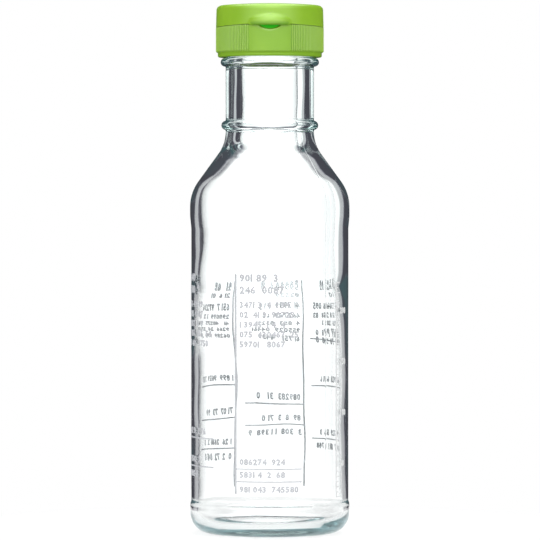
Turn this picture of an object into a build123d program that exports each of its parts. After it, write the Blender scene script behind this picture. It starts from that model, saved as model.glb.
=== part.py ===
from build123d import *
import math
import os

# Glass shaker bottle for salad dressing, with a screw closure and a flip lid.
# Millimetres, +Z up. The origin is the middle of the base, on the table.
# The front, where the thumb lip is, faces -Y, and the lid's hinge is at +Y.

# Base and heel of the glass
HEEL_OUT = 0.4
HEEL_CORNER = 9.0
HEEL_BAND_TOP = 12.4
BASE_RING_W = 5.8
BASE_PUNT = 2.6
FLOOR_Z = 7.6
FLOOR_RISE = 1.8
FLOOR_CORNER = 8.0

# Recessed panel that carries the print
PANEL_R = 32.45
PANEL_STEP = 0.9
PANEL_TOP = 125.8
PANEL_FADE = 5.0
BODY_WALL = 3.2

# Shoulder
SHOULDER_OUT = 0.5
SHOULDER_BAND_H = 3.7
SHOULDER_ROUND = 18.0
SHOULDER_ANGLE = 36.0
SHOULDER_HOLLOW = 16.0

# Neck, its two beads and its rim
NECK_R = 18.2
NECK_WALL = 4.7
LOW_BEAD_UP = 2.35
LOW_BEAD_OUT = 1.8
LOW_BEAD_HALF = 1.9
BEAD_SPACING = 26.0
HIGH_BEAD_OUT = 2.1
HIGH_BEAD_HALF = 1.7
FINISH_STEP = 0.5
FINISH_H = 11.4
RIM_ROUND_OUT = 1.2
RIM_ROUND_IN = 0.8

# Screw thread: one ridge on the glass, one in the closure
THREAD_PITCH = 4.2
THREAD_DEPTH = 1.2
THREAD_ROOT_W = 2.4
THREAD_CREST_W = 1.2
THREAD_TURNS = 1.2
THREAD_BELOW_RIM = 2.6
THREAD_SINK = 0.5
THREAD_PLAY = 0.4
CAP_THREAD_ROOT_W = 1.8
CAP_THREAD_CREST_W = 0.9
CAP_THREAD_TURNS = 1.15
CAP_THREAD_UP = 2.4

# Gasket between rim and deck
GASKET_T = 1.0
GASKET_OVERHANG = 0.6
GASKET_PLAY = 0.4

# Closure: smooth foot ring, ribbed band, deck and collar
FOOT_WALL = 2.15
FOOT_H = 2.0
FOOT_CLEAR = 0.3
FOOT_ROUND = 0.4
BAND_OUT = 0.4
DECK_T = 1.5
RISER_H = 1.0
COLLAR_WALL = 1.0
COLLAR_RISE = 1.55
COLLAR_PLAY = 0.4
RIB_HEIGHT = 0.4
RIB_COUNT = 168
RIB_CREST_SHARE = 0.3
RIB_ROOT_SHARE = 0.8
FRONT_PANEL_HALF = 8.5
SEAM_RISE = 0.7
SEAM_GAP = 0.3

# Thumb scoop under the lip
SCOOP_R = 3.4
SCOOP_HALF = 8.5
SCOOP_DEPTH = 1.3
SCOOP_ABOVE_SEAM = 0.6

# Lid
LID_H = 9.2
LID_WALL = 1.5
LID_DRAFT = 0.2
LID_CROWN = 0.8
LID_ROUND = 1.9
LID_ROOF_T = 2.3
LIP_OUT = 1.4
LIP_HALF = 8.4
LIP_BULGE_RISE = 2.15
LIP_TOP_RISE = 4.55
LIP_UNDERCUT = 0.7
LIP_UNDER_ROUND = 0.9

# Pour spout snapped into the deck
SPOUT_BORE_R = 4.5
SPOUT_WALL = 1.5
SPOUT_LIP_OUT = 0.5
SPOUT_LIP_H = 1.2
SPOUT_RISE = 4.6
SPOUT_BARREL_WALL = 2.4
SPOUT_BARREL_DROP = 2.2
SPOUT_FLANGE_OUT = 2.1
SPOUT_FLANGE_T = 1.0
SPOUT_PLAY = 0.05
SNAP_OUT = 0.35
SNAP_H = 0.8

# Sealing plug pressed into a ring under the lid's roof
PLUG_PLAY = 0.3
PLUG_WALL = 1.2
PLUG_DIP = 1.9
PLUG_TAPER = 0.4
PLUG_TAPER_H = 1.2
PLUG_FLANGE_OUT = 3.3
PLUG_FLANGE_T = 1.0
PLUG_SEAT_WALL = 1.0
PLUG_SEAT_H = 1.4
PLUG_SEAT_PLAY = 0.05

# Moulded hinge: a middle web and two snap straps on flats at the back
FLAT_CUT = 0.9
WEB_T = 0.5
WEB_FOLD_T = 0.26
WEB_FOLD_H = 0.8
WEB_HALF_H = 1.8
WEB_HALF_W = 2.6
STRAP_IN = 3.4
STRAP_OUT = 5.4

# Fired print on the panel: rules, fill lines and the measuring scale
INK_T = 0.12
INK_LINE_W = 0.3
INK_RULE_W = 0.45
PRINT_LOW = 18.0
PRINT_HIGH = 107.3
SCALE_LOW = 15.7
SCALE_HIGH = 103.9
COLUMN_ANGLES = (-116.0, -184.5, -242.0, -299.0, -355.0)
COLUMN_SPAN_ANGLE = 49.5
FILL_LINE_SHARES = (
    (0.053, 0.111),
    (0.113, 0.243),
    (0.176, 0.317, 0.458),
    (0.28, 0.375),
    (0.22, 0.46, 0.68),
)
SCALE_ANGLE = -34.0
TICK_COUNT = 43
LONG_TICK = 3.1
SHORT_TICK = 1.8

# How far a cutting tool runs past what it cuts
OVERRUN = 1.0

# Radii worked out from the sizes above
HEEL_BAND_R = PANEL_R + HEEL_OUT
HEEL_IN_R = HEEL_BAND_R - HEEL_CORNER
BASE_RING_IN_R = HEEL_IN_R - BASE_RING_W
SHOULDER_BAND_R = PANEL_R + SHOULDER_OUT
CAVITY_R = PANEL_R - BODY_WALL
FLOOR_R = CAVITY_R - FLOOR_CORNER
BORE_R = NECK_R - NECK_WALL
FINISH_R = NECK_R - FINISH_STEP
THREAD_CREST_R = FINISH_R + THREAD_DEPTH
CLOSURE_BORE_R = THREAD_CREST_R + THREAD_PLAY
FOOT_R = CLOSURE_BORE_R + FOOT_WALL
BAND_R = FOOT_R + BAND_OUT
RIB_CREST_R = BAND_R + RIB_HEIGHT
COLLAR_R = CLOSURE_BORE_R + COLLAR_WALL
LID_BORE_R = COLLAR_R + COLLAR_PLAY
LID_FOOT_R = LID_BORE_R + LID_WALL
LID_TOP_R = LID_FOOT_R - LID_DRAFT
FLAT_Y = LID_FOOT_R - FLAT_CUT
SPOUT_BARREL_R = SPOUT_BORE_R + SPOUT_BARREL_WALL
PLUG_R = SPOUT_BORE_R - PLUG_PLAY
PLUG_FLANGE_R = PLUG_R + PLUG_FLANGE_OUT

# Heights worked out from the sizes above
SHOULDER_Z = PANEL_TOP + PANEL_FADE + SHOULDER_BAND_H
SHOULDER_TURN = math.radians(SHOULDER_ANGLE)
SHOULDER_DROP = 1 - math.cos(SHOULDER_TURN)
SHOULDER_SLOPE_IN = (
    SHOULDER_BAND_R - NECK_R - (SHOULDER_ROUND + SHOULDER_HOLLOW) * SHOULDER_DROP
)
SHOULDER_END_Z = (
    SHOULDER_Z
    + (SHOULDER_ROUND + SHOULDER_HOLLOW) * math.sin(SHOULDER_TURN)
    + SHOULDER_SLOPE_IN / math.tan(SHOULDER_TURN)
)
LOW_BEAD_Z = SHOULDER_END_Z + LOW_BEAD_UP
HIGH_BEAD_Z = LOW_BEAD_Z + BEAD_SPACING
RIM_Z = HIGH_BEAD_Z + FINISH_H
THREAD_Z = RIM_Z - THREAD_BELOW_RIM - THREAD_PITCH * THREAD_TURNS
FOOT_Z = HIGH_BEAD_Z + HIGH_BEAD_HALF + FOOT_CLEAR
BAND_Z = FOOT_Z + FOOT_H
CAP_THREAD_Z = FOOT_Z + CAP_THREAD_UP
GASKET_TOP = RIM_Z + GASKET_T
DECK_TOP = GASKET_TOP + DECK_T
SEAM_Z = DECK_TOP + RISER_H
SEAM_ARCH_R = (LID_FOOT_R**2 + SEAM_RISE**2) / (2 * SEAM_RISE)
SEAM_ARCH_Z = SEAM_Z - SEAM_ARCH_R
LID_CREST_Z = SEAM_Z + LID_H
LID_ROOF_Z = LID_CREST_Z - LID_ROOF_T
SPOUT_TOP = DECK_TOP + SPOUT_RISE
HINGE_Z = SEAM_Z + SEAM_GAP / 2

UPRIGHT = (Align.CENTER, Align.CENTER, Align.MIN)


def at(radius, height):
    """A point of an outline that is turned about the bottle's axis."""
    return (radius, 0, height)


def turned(*lines):
    """The solid made by turning a closed outline about the bottle's axis."""
    outline = Wire([edge for line in lines for edge in line.edges()])
    return revolve(Face(outline), Axis.Z)


def shoulder_points(wide, narrow, round_r, hollow_r):
    """Ends and middles of the two arcs of one side of the shoulder wall, from below."""
    slope_in = wide - narrow - (round_r + hollow_r) * SHOULDER_DROP
    high = at(
        wide - round_r * SHOULDER_DROP,
        SHOULDER_Z + round_r * math.sin(SHOULDER_TURN),
    )
    low = at(high[0] - slope_in, high[2] + slope_in / math.tan(SHOULDER_TURN))
    end = at(narrow, low[2] + hollow_r * math.sin(SHOULDER_TURN))
    half_turn = SHOULDER_TURN / 2
    half_drop = 1 - math.cos(half_turn)
    round_mid = at(
        wide - round_r * half_drop, SHOULDER_Z + round_r * math.sin(half_turn)
    )
    hollow_mid = at(
        narrow + hollow_r * half_drop, end[2] - hollow_r * math.sin(half_turn)
    )
    return at(wide, SHOULDER_Z), round_mid, high, low, hollow_mid, end


def bead(z, bead_out, half):
    """A rounded ring on the neck, from below to above."""
    return ThreePointArc(
        at(NECK_R, z - half), at(NECK_R + bead_out, z), at(NECK_R, z + half)
    )


def quarter(centre_r, centre_z, round_r, out, up, from_side):
    """A quarter round about a centre, between its side and its top or bottom."""
    side = at(centre_r + out * round_r, centre_z)
    level = at(centre_r, centre_z + up * round_r)
    reach = round_r * math.sqrt(0.5)
    mid = at(centre_r + out * reach, centre_z + up * reach)
    if from_side:
        return ThreePointArc(side, mid, level)
    return ThreePointArc(level, mid, side)


def dome(span, low_z, rise):
    """A shallow dome's outline, from its edge at span to its crest on the axis."""
    dome_r = (span**2 + rise**2) / (2 * rise)
    reach = span / 2
    mid_z = low_z + rise - dome_r + math.sqrt(dome_r**2 - reach**2)
    return ThreePointArc(at(span, low_z), at(reach, mid_z), at(0, low_z + rise))


def glass_outside():
    """The outer side of the glass, from the middle of the base up to the rim."""
    shoulder, round_mid, slope_low, slope_high, hollow_mid, neck = shoulder_points(
        SHOULDER_BAND_R, NECK_R, SHOULDER_ROUND, SHOULDER_HOLLOW
    )
    low_bead_low = LOW_BEAD_Z - LOW_BEAD_HALF
    low_bead_high = LOW_BEAD_Z + LOW_BEAD_HALF
    high_bead_low = HIGH_BEAD_Z - HIGH_BEAD_HALF
    high_bead_high = HIGH_BEAD_Z + HIGH_BEAD_HALF
    return [
        dome(BASE_RING_IN_R, 0, BASE_PUNT),
        Line(at(BASE_RING_IN_R, 0), at(HEEL_IN_R, 0)),
        quarter(HEEL_IN_R, HEEL_CORNER, HEEL_CORNER, 1, -1, False),
        Polyline(
            at(HEEL_BAND_R, HEEL_CORNER),
            at(HEEL_BAND_R, HEEL_BAND_TOP),
            at(PANEL_R, HEEL_BAND_TOP + PANEL_STEP),
            at(PANEL_R, PANEL_TOP),
            at(SHOULDER_BAND_R, PANEL_TOP + PANEL_FADE),
            shoulder,
        ),
        ThreePointArc(shoulder, round_mid, slope_low),
        Line(slope_low, slope_high),
        ThreePointArc(slope_high, hollow_mid, neck),
        Line(neck, at(NECK_R, low_bead_low)),
        bead(LOW_BEAD_Z, LOW_BEAD_OUT, LOW_BEAD_HALF),
        Line(at(NECK_R, low_bead_high), at(NECK_R, high_bead_low)),
        bead(HIGH_BEAD_Z, HIGH_BEAD_OUT, HIGH_BEAD_HALF),
        Polyline(
            at(NECK_R, high_bead_high),
            at(FINISH_R, high_bead_high),
            at(FINISH_R, RIM_Z - RIM_ROUND_OUT),
        ),
        quarter(
            FINISH_R - RIM_ROUND_OUT, RIM_Z - RIM_ROUND_OUT, RIM_ROUND_OUT, 1, 1, True
        ),
    ]


def glass_inside():
    """The inner side of the glass, from the rim down to the middle of the floor."""
    shoulder, round_mid, slope_low, slope_high, hollow_mid, neck = shoulder_points(
        CAVITY_R, BORE_R, SHOULDER_ROUND - BODY_WALL, SHOULDER_HOLLOW + NECK_WALL
    )
    return [
        quarter(
            BORE_R + RIM_ROUND_IN, RIM_Z - RIM_ROUND_IN, RIM_ROUND_IN, -1, 1, False
        ),
        Line(at(BORE_R, RIM_Z - RIM_ROUND_IN), neck),
        ThreePointArc(neck, hollow_mid, slope_high),
        Line(slope_high, slope_low),
        ThreePointArc(slope_low, round_mid, shoulder),
        Line(shoulder, at(CAVITY_R, FLOOR_Z + FLOOR_CORNER)),
        quarter(FLOOR_R, FLOOR_Z + FLOOR_CORNER, FLOOR_CORNER, 1, -1, True),
        dome(FLOOR_R, FLOOR_Z, FLOOR_RISE),
    ]


def thread_ridge(root_r, crest_r, root_w, crest_w, low_z, turns):
    """A helical ridge from its root to its crest, sunk a little into the wall behind it."""
    inwards = math.copysign(1, root_r - crest_r)
    back_r = root_r + inwards * THREAD_SINK
    depth = abs(crest_r - back_r)
    flare = (root_w - crest_w) / abs(crest_r - root_r)
    back_w = crest_w + flare * depth
    path = Helix(THREAD_PITCH, THREAD_PITCH * turns, back_r, center=(0, 0, low_z))
    frame = Plane(origin=path @ 0, x_dir=(-inwards, 0, 0), z_dir=path % 0)
    section = frame * Polygon(
        (0, -back_w / 2),
        (depth, -crest_w / 2),
        (depth, crest_w / 2),
        (0, back_w / 2),
        align=None,
    )
    return sweep(section, path=path, is_frenet=True)


def glass_bottle():
    """The bottle: one piece of glass with its beads, rim and outer thread."""
    land = Line(at(FINISH_R - RIM_ROUND_OUT, RIM_Z), at(BORE_R + RIM_ROUND_IN, RIM_Z))
    axis = Line(at(0, FLOOR_Z + FLOOR_RISE), at(0, BASE_PUNT))
    body = turned(*glass_outside(), land, *glass_inside(), axis)
    ridge = thread_ridge(
        FINISH_R,
        THREAD_CREST_R,
        THREAD_ROOT_W,
        THREAD_CREST_W,
        THREAD_Z,
        THREAD_TURNS,
    )
    return body + ridge


def tube(outer_r, inner_r, low, high):
    """A plain ring between two heights."""
    height = high - low
    outer = Cylinder(outer_r, height, align=UPRIGHT)
    inner = Cylinder(inner_r, height, align=UPRIGHT)
    return Pos(0, 0, low) * (outer - inner)


def rim_gasket():
    """The flat washer that the deck presses on the rim."""
    outer_r = CLOSURE_BORE_R - GASKET_PLAY
    return tube(outer_r, BORE_R - GASKET_OVERHANG, RIM_Z, GASKET_TOP)


def seam_arch(extra):
    """The long round bar whose top is the seam: high in the middle, lower at both sides."""
    length = 2 * (LID_FOOT_R + LIP_OUT + OVERRUN)
    return Pos(0, 0, SEAM_ARCH_Z) * Rot(X=90) * Cylinder(SEAM_ARCH_R + extra, length)


def behind_flat():
    """Everything behind the flats that carry the hinge."""
    depth = LID_FOOT_R - FLAT_Y + OVERRUN
    height = LID_CREST_Z - FOOT_Z + 2 * OVERRUN
    align = (Align.CENTER, Align.MIN, Align.MIN)
    block = Box(2 * LID_FOOT_R, depth, height, align=align)
    return Pos(0, FLAT_Y, FOOT_Z - OVERRUN) * block


def is_ribbed(angle):
    """Whether a grip rib stands at an angle: none do on the front panel or the hinge flat."""
    flat_half = math.sqrt(RIB_CREST_R**2 - FLAT_Y**2)
    bare_half = FRONT_PANEL_HALF if math.sin(angle) < 0 else flat_half
    half_rib = math.pi * BAND_R / RIB_COUNT
    return abs(BAND_R * math.cos(angle)) > bare_half + half_rib


def grip_band(high):
    """The band of upright grip ribs, as one toothed ring between its foot and high."""
    step = 2 * math.pi / RIB_COUNT
    points = []
    for k in range(RIB_COUNT):
        centre = (k + 0.5) * step
        crest_r = RIB_CREST_R if is_ribbed(centre) else BAND_R
        corners = (
            (-RIB_ROOT_SHARE, BAND_R),
            (-RIB_CREST_SHARE, crest_r),
            (RIB_CREST_SHARE, crest_r),
            (RIB_ROOT_SHARE, BAND_R),
        )
        for share, radius in corners:
            turn = centre + share / 2 * step
            points.append((radius * math.cos(turn), radius * math.sin(turn)))
    ring = extrude(Polygon(*points, align=None), high - BAND_Z)
    bore = Cylinder(CLOSURE_BORE_R, high - BAND_Z, align=UPRIGHT)
    return Pos(0, 0, BAND_Z) * (ring - bore)


def thumb_scoop():
    """The long round body that hollows the front panel under the lid's lip."""
    half = Ellipse(SCOOP_HALF, SCOOP_R) & Pos(0, SCOOP_R, 0) * Rectangle(2 * SCOOP_HALF, 2 * SCOOP_R)
    reach = BAND_R - SCOOP_DEPTH + SCOOP_R
    return Pos(0, -reach, SEAM_Z + SCOOP_ABOVE_SEAM) * revolve(half, Axis.X)


def cap_thread():
    """The closure's thread, half a pitch under the glass thread at every angle."""
    ridge = thread_ridge(
        CLOSURE_BORE_R,
        FINISH_R + THREAD_PLAY,
        CAP_THREAD_ROOT_W,
        CAP_THREAD_CREST_W,
        CAP_THREAD_Z,
        CAP_THREAD_TURNS,
    )
    lead = (CAP_THREAD_Z - THREAD_Z) / THREAD_PITCH + 0.5
    return Rot(Z=360 * lead) * ridge


def closure_shell():
    """The screw closure: foot ring, ribbed band, deck, collar and inner thread."""
    band = grip_band(SEAM_Z + OVERRUN) & seam_arch(0)
    ring = tube(FOOT_R, CLOSURE_BORE_R, FOOT_Z, BAND_Z)
    foot = fillet(ring.edges().group_by(Axis.Z)[0], FOOT_ROUND)
    deck = tube(COLLAR_R, SPOUT_BARREL_R + SPOUT_PLAY, GASKET_TOP, DECK_TOP)
    collar = tube(COLLAR_R, CLOSURE_BORE_R, GASKET_TOP, SEAM_Z + COLLAR_RISE)
    shell = band + foot + deck + collar + cap_thread()
    return shell - thumb_scoop() - behind_flat()


def pour_spout():
    """The spout snapped into the deck: snap bead, barrel, flange and rolled lip."""
    neck_r = SPOUT_BORE_R + SPOUT_WALL
    flange_r = SPOUT_BARREL_R + SPOUT_FLANGE_OUT
    flange_top = DECK_TOP + SPOUT_FLANGE_T
    low = GASKET_TOP - SPOUT_BARREL_DROP
    snap_top = GASKET_TOP - SPOUT_PLAY
    lip_low = SPOUT_TOP - SPOUT_LIP_H
    roll_z = SPOUT_TOP - SPOUT_LIP_H / 2
    mouth = (SPOUT_WALL + SPOUT_LIP_OUT) / 2
    return turned(
        Polyline(
            at(SPOUT_BORE_R, SPOUT_TOP - mouth),
            at(SPOUT_BORE_R, low),
            at(SPOUT_BARREL_R, low),
            at(SPOUT_BARREL_R, snap_top - SNAP_H),
            at(SPOUT_BARREL_R + SNAP_OUT, snap_top),
            at(SPOUT_BARREL_R, snap_top),
            at(SPOUT_BARREL_R, DECK_TOP),
            at(flange_r, DECK_TOP),
            at(flange_r, flange_top),
            at(neck_r, flange_top),
            at(neck_r, lip_low),
            at(neck_r + SPOUT_LIP_OUT, roll_z),
            at(neck_r, SPOUT_TOP),
            at(SPOUT_BORE_R + mouth, SPOUT_TOP),
        ),
        quarter(SPOUT_BORE_R + mouth, SPOUT_TOP - mouth, mouth, -1, 1, False),
    )


def thumb_lip():
    """The rounded lip at the front of the lid, turned about an axis nearer the front."""
    side_y = math.sqrt(LID_FOOT_R**2 - LIP_HALF**2)
    out = LID_FOOT_R + LIP_OUT - side_y
    bulge_r = (LIP_HALF**2 + out**2) / (2 * out)
    axis_y = LID_FOOT_R + LIP_OUT - bulge_r
    wall_r = LID_TOP_R - axis_y
    bulge_z = SEAM_Z + LIP_BULGE_RISE
    round_z = bulge_z - LIP_UNDER_ROUND
    top_z = SEAM_Z + LIP_TOP_RISE
    low_z = SEAM_Z - SEAM_RISE
    shape = turned(
        Polyline(
            at(0, top_z),
            at(0, low_z),
            at(bulge_r - LIP_UNDERCUT, low_z),
            at(bulge_r - LIP_UNDERCUT, round_z),
        ),
        ThreePointArc(
            at(bulge_r - LIP_UNDERCUT, round_z),
            at(bulge_r - LIP_UNDERCUT / 4, (round_z + bulge_z) / 2),
            at(bulge_r, bulge_z),
        ),
        Polyline(at(bulge_r, bulge_z), at(wall_r, top_z), at(0, top_z)),
    )
    inside = Pos(0, 0, low_z) * Cylinder(LID_BORE_R, LID_H, align=UPRIGHT)
    return Pos(0, -axis_y, 0) * shape - inside


def flip_lid():
    """The lid: crowned roof, drafted wall, thumb lip, plug seat and the flat at the back."""
    low_z = SEAM_Z - SEAM_RISE
    edge_z = LID_CREST_Z - LID_CROWN
    roof_r = LID_TOP_R - LID_ROUND
    seat_r = PLUG_FLANGE_R + PLUG_SEAT_PLAY
    shell = turned(
        Polyline(
            at(LID_TOP_R, edge_z - LID_ROUND),
            at(LID_FOOT_R, SEAM_Z),
            at(LID_FOOT_R, low_z),
            at(LID_BORE_R, low_z),
            at(LID_BORE_R, LID_ROOF_Z),
            at(seat_r + PLUG_SEAT_WALL, LID_ROOF_Z),
            at(seat_r + PLUG_SEAT_WALL, LID_ROOF_Z - PLUG_SEAT_H),
            at(seat_r, LID_ROOF_Z - PLUG_SEAT_H),
            at(seat_r, LID_ROOF_Z),
            at(0, LID_ROOF_Z),
            at(0, LID_CREST_Z),
        ),
        dome(roof_r, edge_z, LID_CROWN),
        quarter(roof_r, edge_z - LID_ROUND, LID_ROUND, 1, 1, False),
    )
    return shell + thumb_lip() - seam_arch(SEAM_GAP) - behind_flat()


def lid_plug():
    """The hollow plug that closes the spout, with the flange that holds it to the roof."""
    low = SPOUT_TOP - PLUG_DIP
    flange_z = LID_ROOF_Z - PLUG_FLANGE_T
    return turned(
        Polyline(
            at(0, LID_ROOF_Z),
            at(PLUG_FLANGE_R, LID_ROOF_Z),
            at(PLUG_FLANGE_R, flange_z),
            at(PLUG_R, flange_z),
            at(PLUG_R, low + PLUG_TAPER_H),
            at(PLUG_R - PLUG_TAPER, low),
            at(PLUG_R - PLUG_WALL, low),
            at(PLUG_R - PLUG_WALL, flange_z),
            at(0, flange_z),
            at(0, LID_ROOF_Z),
        )
    )


def hinge_strip(from_x, to_x):
    """One strip of the moulded hinge: two lands on the flats and a thin fold between them."""
    front = FLAT_Y
    back = FLAT_Y + WEB_T
    fold_in = (WEB_T - WEB_FOLD_T) / 2
    half_fold = WEB_FOLD_H / 2
    outline = (
        (front, HINGE_Z - WEB_HALF_H),
        (back, HINGE_Z - WEB_HALF_H),
        (back, HINGE_Z - half_fold),
        (back - fold_in, HINGE_Z),
        (back, HINGE_Z + half_fold),
        (back, HINGE_Z + WEB_HALF_H),
        (front, HINGE_Z + WEB_HALF_H),
        (front, HINGE_Z + half_fold),
        (front + fold_in, HINGE_Z),
        (front, HINGE_Z - half_fold),
        (front, HINGE_Z - WEB_HALF_H),
    )
    section = Polyline(*[(from_x, y, z) for y, z in outline])
    return extrude(Face(Wire(section.edges())), to_x - from_x, dir=(1, 0, 0))


def ink_patch(angle, span, low, high):
    """A patch of fired ink on the panel, from one angle over a span in degrees."""
    align = (Align.MIN, Align.MIN)
    profile = Plane.XZ * Rectangle(INK_T, high - low, align=align)
    return Rot(Z=angle) * revolve(Pos(PANEL_R, 0, low) * profile, Axis.Z, span)


def arc_of(width):
    """The angle in degrees that a width takes on the panel."""
    return math.degrees(width / PANEL_R)


def print_column(angle, shares):
    """One printed column: its upright rule and its level fill lines."""
    rule = arc_of(INK_RULE_W)
    upright = ink_patch(angle, rule, PRINT_LOW, PRINT_HIGH)
    lines = []
    for share in shares:
        low = PRINT_LOW + share * (PRINT_HIGH - PRINT_LOW)
        line = ink_patch(angle + rule, COLUMN_SPAN_ANGLE - rule, low, low + INK_LINE_W)
        lines.append(line)
    return upright + lines


def print_scale():
    """The measuring scale: an upright rule with long and short ticks in turn."""
    rule = arc_of(INK_LINE_W)
    upright = ink_patch(SCALE_ANGLE, rule, SCALE_LOW, SCALE_HIGH)
    step = (SCALE_HIGH - SCALE_LOW - INK_LINE_W) / (TICK_COUNT - 1)
    ticks = []
    for k in range(TICK_COUNT):
        length = SHORT_TICK if k % 2 else LONG_TICK
        low = SCALE_LOW + k * step
        tick = ink_patch(
            SCALE_ANGLE + rule, arc_of(length) - rule, low, low + INK_LINE_W
        )
        ticks.append(tick)
    return upright + ticks


def main():
    os.makedirs("parts", exist_ok=True)
    nodes = {
        "glass_bottle": glass_bottle(),
        "rim_gasket": rim_gasket(),
        "closure_shell": closure_shell(),
        "pour_spout": pour_spout(),
        "flip_lid": flip_lid(),
        "lid_plug": lid_plug(),
        "hinge_web": hinge_strip(-WEB_HALF_W, WEB_HALF_W),
        "snap_strap_left": hinge_strip(-STRAP_OUT, -STRAP_IN),
        "snap_strap_right": hinge_strip(STRAP_IN, STRAP_OUT),
        "print_scale": print_scale(),
    }
    columns = zip(COLUMN_ANGLES, FILL_LINE_SHARES)
    for number, (angle, shares) in enumerate(columns, start=1):
        nodes[f"print_column_{number}"] = print_column(angle, shares)
    for name, shape in nodes.items():
        export_step(shape, f"parts/{name}.step")


main()
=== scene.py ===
import math
from types import SimpleNamespace

import bpy
import numpy as np
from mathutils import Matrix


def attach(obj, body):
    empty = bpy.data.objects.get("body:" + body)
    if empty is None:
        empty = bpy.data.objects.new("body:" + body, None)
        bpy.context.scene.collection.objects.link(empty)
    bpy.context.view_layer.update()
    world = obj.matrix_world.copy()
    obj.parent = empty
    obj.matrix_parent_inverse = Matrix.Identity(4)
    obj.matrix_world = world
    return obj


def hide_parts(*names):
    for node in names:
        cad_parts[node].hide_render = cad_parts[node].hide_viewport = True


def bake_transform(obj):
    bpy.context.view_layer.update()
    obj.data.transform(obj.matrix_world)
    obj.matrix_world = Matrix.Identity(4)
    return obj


bl_info = {
    "name": "Dressing Shaker Bottle",
    "version": (1, 0, 0),
    "blender": (4, 5, 0),
    "location": "View3D > Sidebar > Bottle",
    "description": "Glass shaker bottle with fired print, screw closure and flip lid",
    "category": "Add Mesh",
}

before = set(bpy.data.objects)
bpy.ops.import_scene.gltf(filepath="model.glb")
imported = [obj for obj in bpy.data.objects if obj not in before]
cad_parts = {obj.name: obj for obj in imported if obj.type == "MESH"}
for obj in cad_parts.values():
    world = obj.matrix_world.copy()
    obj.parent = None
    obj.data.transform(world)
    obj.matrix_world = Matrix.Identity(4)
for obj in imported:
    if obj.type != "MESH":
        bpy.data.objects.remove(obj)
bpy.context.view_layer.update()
TO_M = 0.001
FULL_TURN = 2 * math.pi


# Profiles: each is an array of (radius, height) rows in millimetres

ROW_STEP = 0.1
FINE_STEP = 0.05


def run(*points):
    """Straight runs through the points, with rows about ROW_STEP apart."""
    rows = [np.array(points[:1], float)]
    for a, b in zip(points, points[1:]):
        count = max(2, int(math.dist(a, b) / ROW_STEP) + 1)
        t = np.linspace(0, 1, count)[1:, None]
        rows.append(np.array(a) * (1 - t) + np.array(b) * t)
    return np.concatenate(rows)


def bend(centre, radius, start, end):
    """Centre plus radius times (cos t, sin t), as t goes from start to end in degrees."""
    sweep = math.radians(abs(end - start)) * radius
    t = np.radians(np.linspace(start, end, max(3, int(sweep / ROW_STEP) + 1)))
    return np.stack([centre[0] + radius * np.cos(t), centre[1] + radius * np.sin(t)], 1)


def dome(span, low, rise):
    """A circle's arc from (span, low) to its crest at (0, low + rise)."""
    radius = (span**2 + rise**2) / (2 * rise)
    r = np.linspace(span, 0, max(3, int(span / ROW_STEP) + 1))
    return np.stack([r, low + rise - radius + np.sqrt(radius**2 - r**2)], 1)


def bulge(radius, centre_z, out, half):
    """A circle's arc from half below centre_z to half above it, standing out at the middle."""
    arc_r = (half**2 + out**2) / (2 * out)
    z = np.linspace(-half, half, max(5, int(2 * half / ROW_STEP) + 1))
    return np.stack([radius + out - arc_r + np.sqrt(arc_r**2 - z**2), centre_z + z], 1)


def softened(rows, reach):
    """The profile averaged along its own length over about reach millimetres, ends kept.

    The weights fall off as exp(-d squared / 2), and each end is mirrored through its last row.
    """
    gaps = np.linalg.norm(np.diff(rows, axis=0), axis=1)
    rows = rows[np.concatenate([[True], gaps > 1e-9])]
    along = np.concatenate([[0], np.cumsum(gaps[gaps > 1e-9])])
    even = np.linspace(0, along[-1], max(9, int(along[-1] / FINE_STEP)))
    rows = np.stack([np.interp(even, along, rows[:, k]) for k in (0, 1)], 1)
    wide = max(1, int(reach / FINE_STEP))
    kernel = np.exp(-0.5 * (np.arange(-2 * wide, 2 * wide + 1) / (wide / 2)) ** 2)
    kernel /= kernel.sum()
    first = 2 * rows[:1] - rows[1 : 2 * wide + 1][::-1]
    last = 2 * rows[-1:] - rows[-2 * wide - 1 : -1][::-1]
    padded = np.concatenate([first, rows, last])
    smooth = np.stack([np.convolve(padded[:, k], kernel, "valid") for k in (0, 1)], 1)
    smooth[0], smooth[-1] = rows[0], rows[-1]
    return smooth


def thinned(rows, fine, coarse):
    """Fewer rows: about fine apart where the profile bends, and coarse apart where it's straight.

    Rows per millimetre rise with the turn per millimetre, up to sharp, averaged over blur rows.
    """
    sharp, blur = 0.12, 21
    step = np.diff(rows, axis=0)
    span = np.linalg.norm(step, axis=1)
    heading = np.unwrap(np.arctan2(step[:, 1], step[:, 0]))
    turn = np.abs(np.gradient(heading)) / span
    need = 1 / coarse + (1 / fine - 1 / coarse) * np.clip(turn / sharp, 0, 1)
    need = np.convolve(np.pad(need, blur // 2, "edge"), np.ones(blur) / blur, "valid")
    pace = np.concatenate([[0], np.cumsum(need * span)])
    even = np.linspace(0, pace[-1], int(pace[-1]) + 2)
    return np.stack([np.interp(even, pace, rows[:, k]) for k in (0, 1)], 1)


def smooth_step(value, low, high):
    """From 0 at low to 1 at high, as t squared times 3 minus 2t."""
    t = np.clip((value - low) / (high - low), 0, 1)
    return t * t * (3 - 2 * t)


def bump_at(value, centre, half):
    """A smooth bump: half of 1 + cos over half to each side of centre, zero outside."""
    away = np.clip(np.abs(value - centre) / half, 0, 1)
    return 0.5 + 0.5 * np.cos(np.pi * away)


def larger(first, second, soft):
    """The larger of two values, rounded over: first + soft times log(1 + exp(gap / soft))."""
    far = 30
    return first + soft * np.logaddexp(0, np.clip((second - first) / soft, -far, far))


# Meshes: every surface is a grid of points over two parameters


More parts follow.
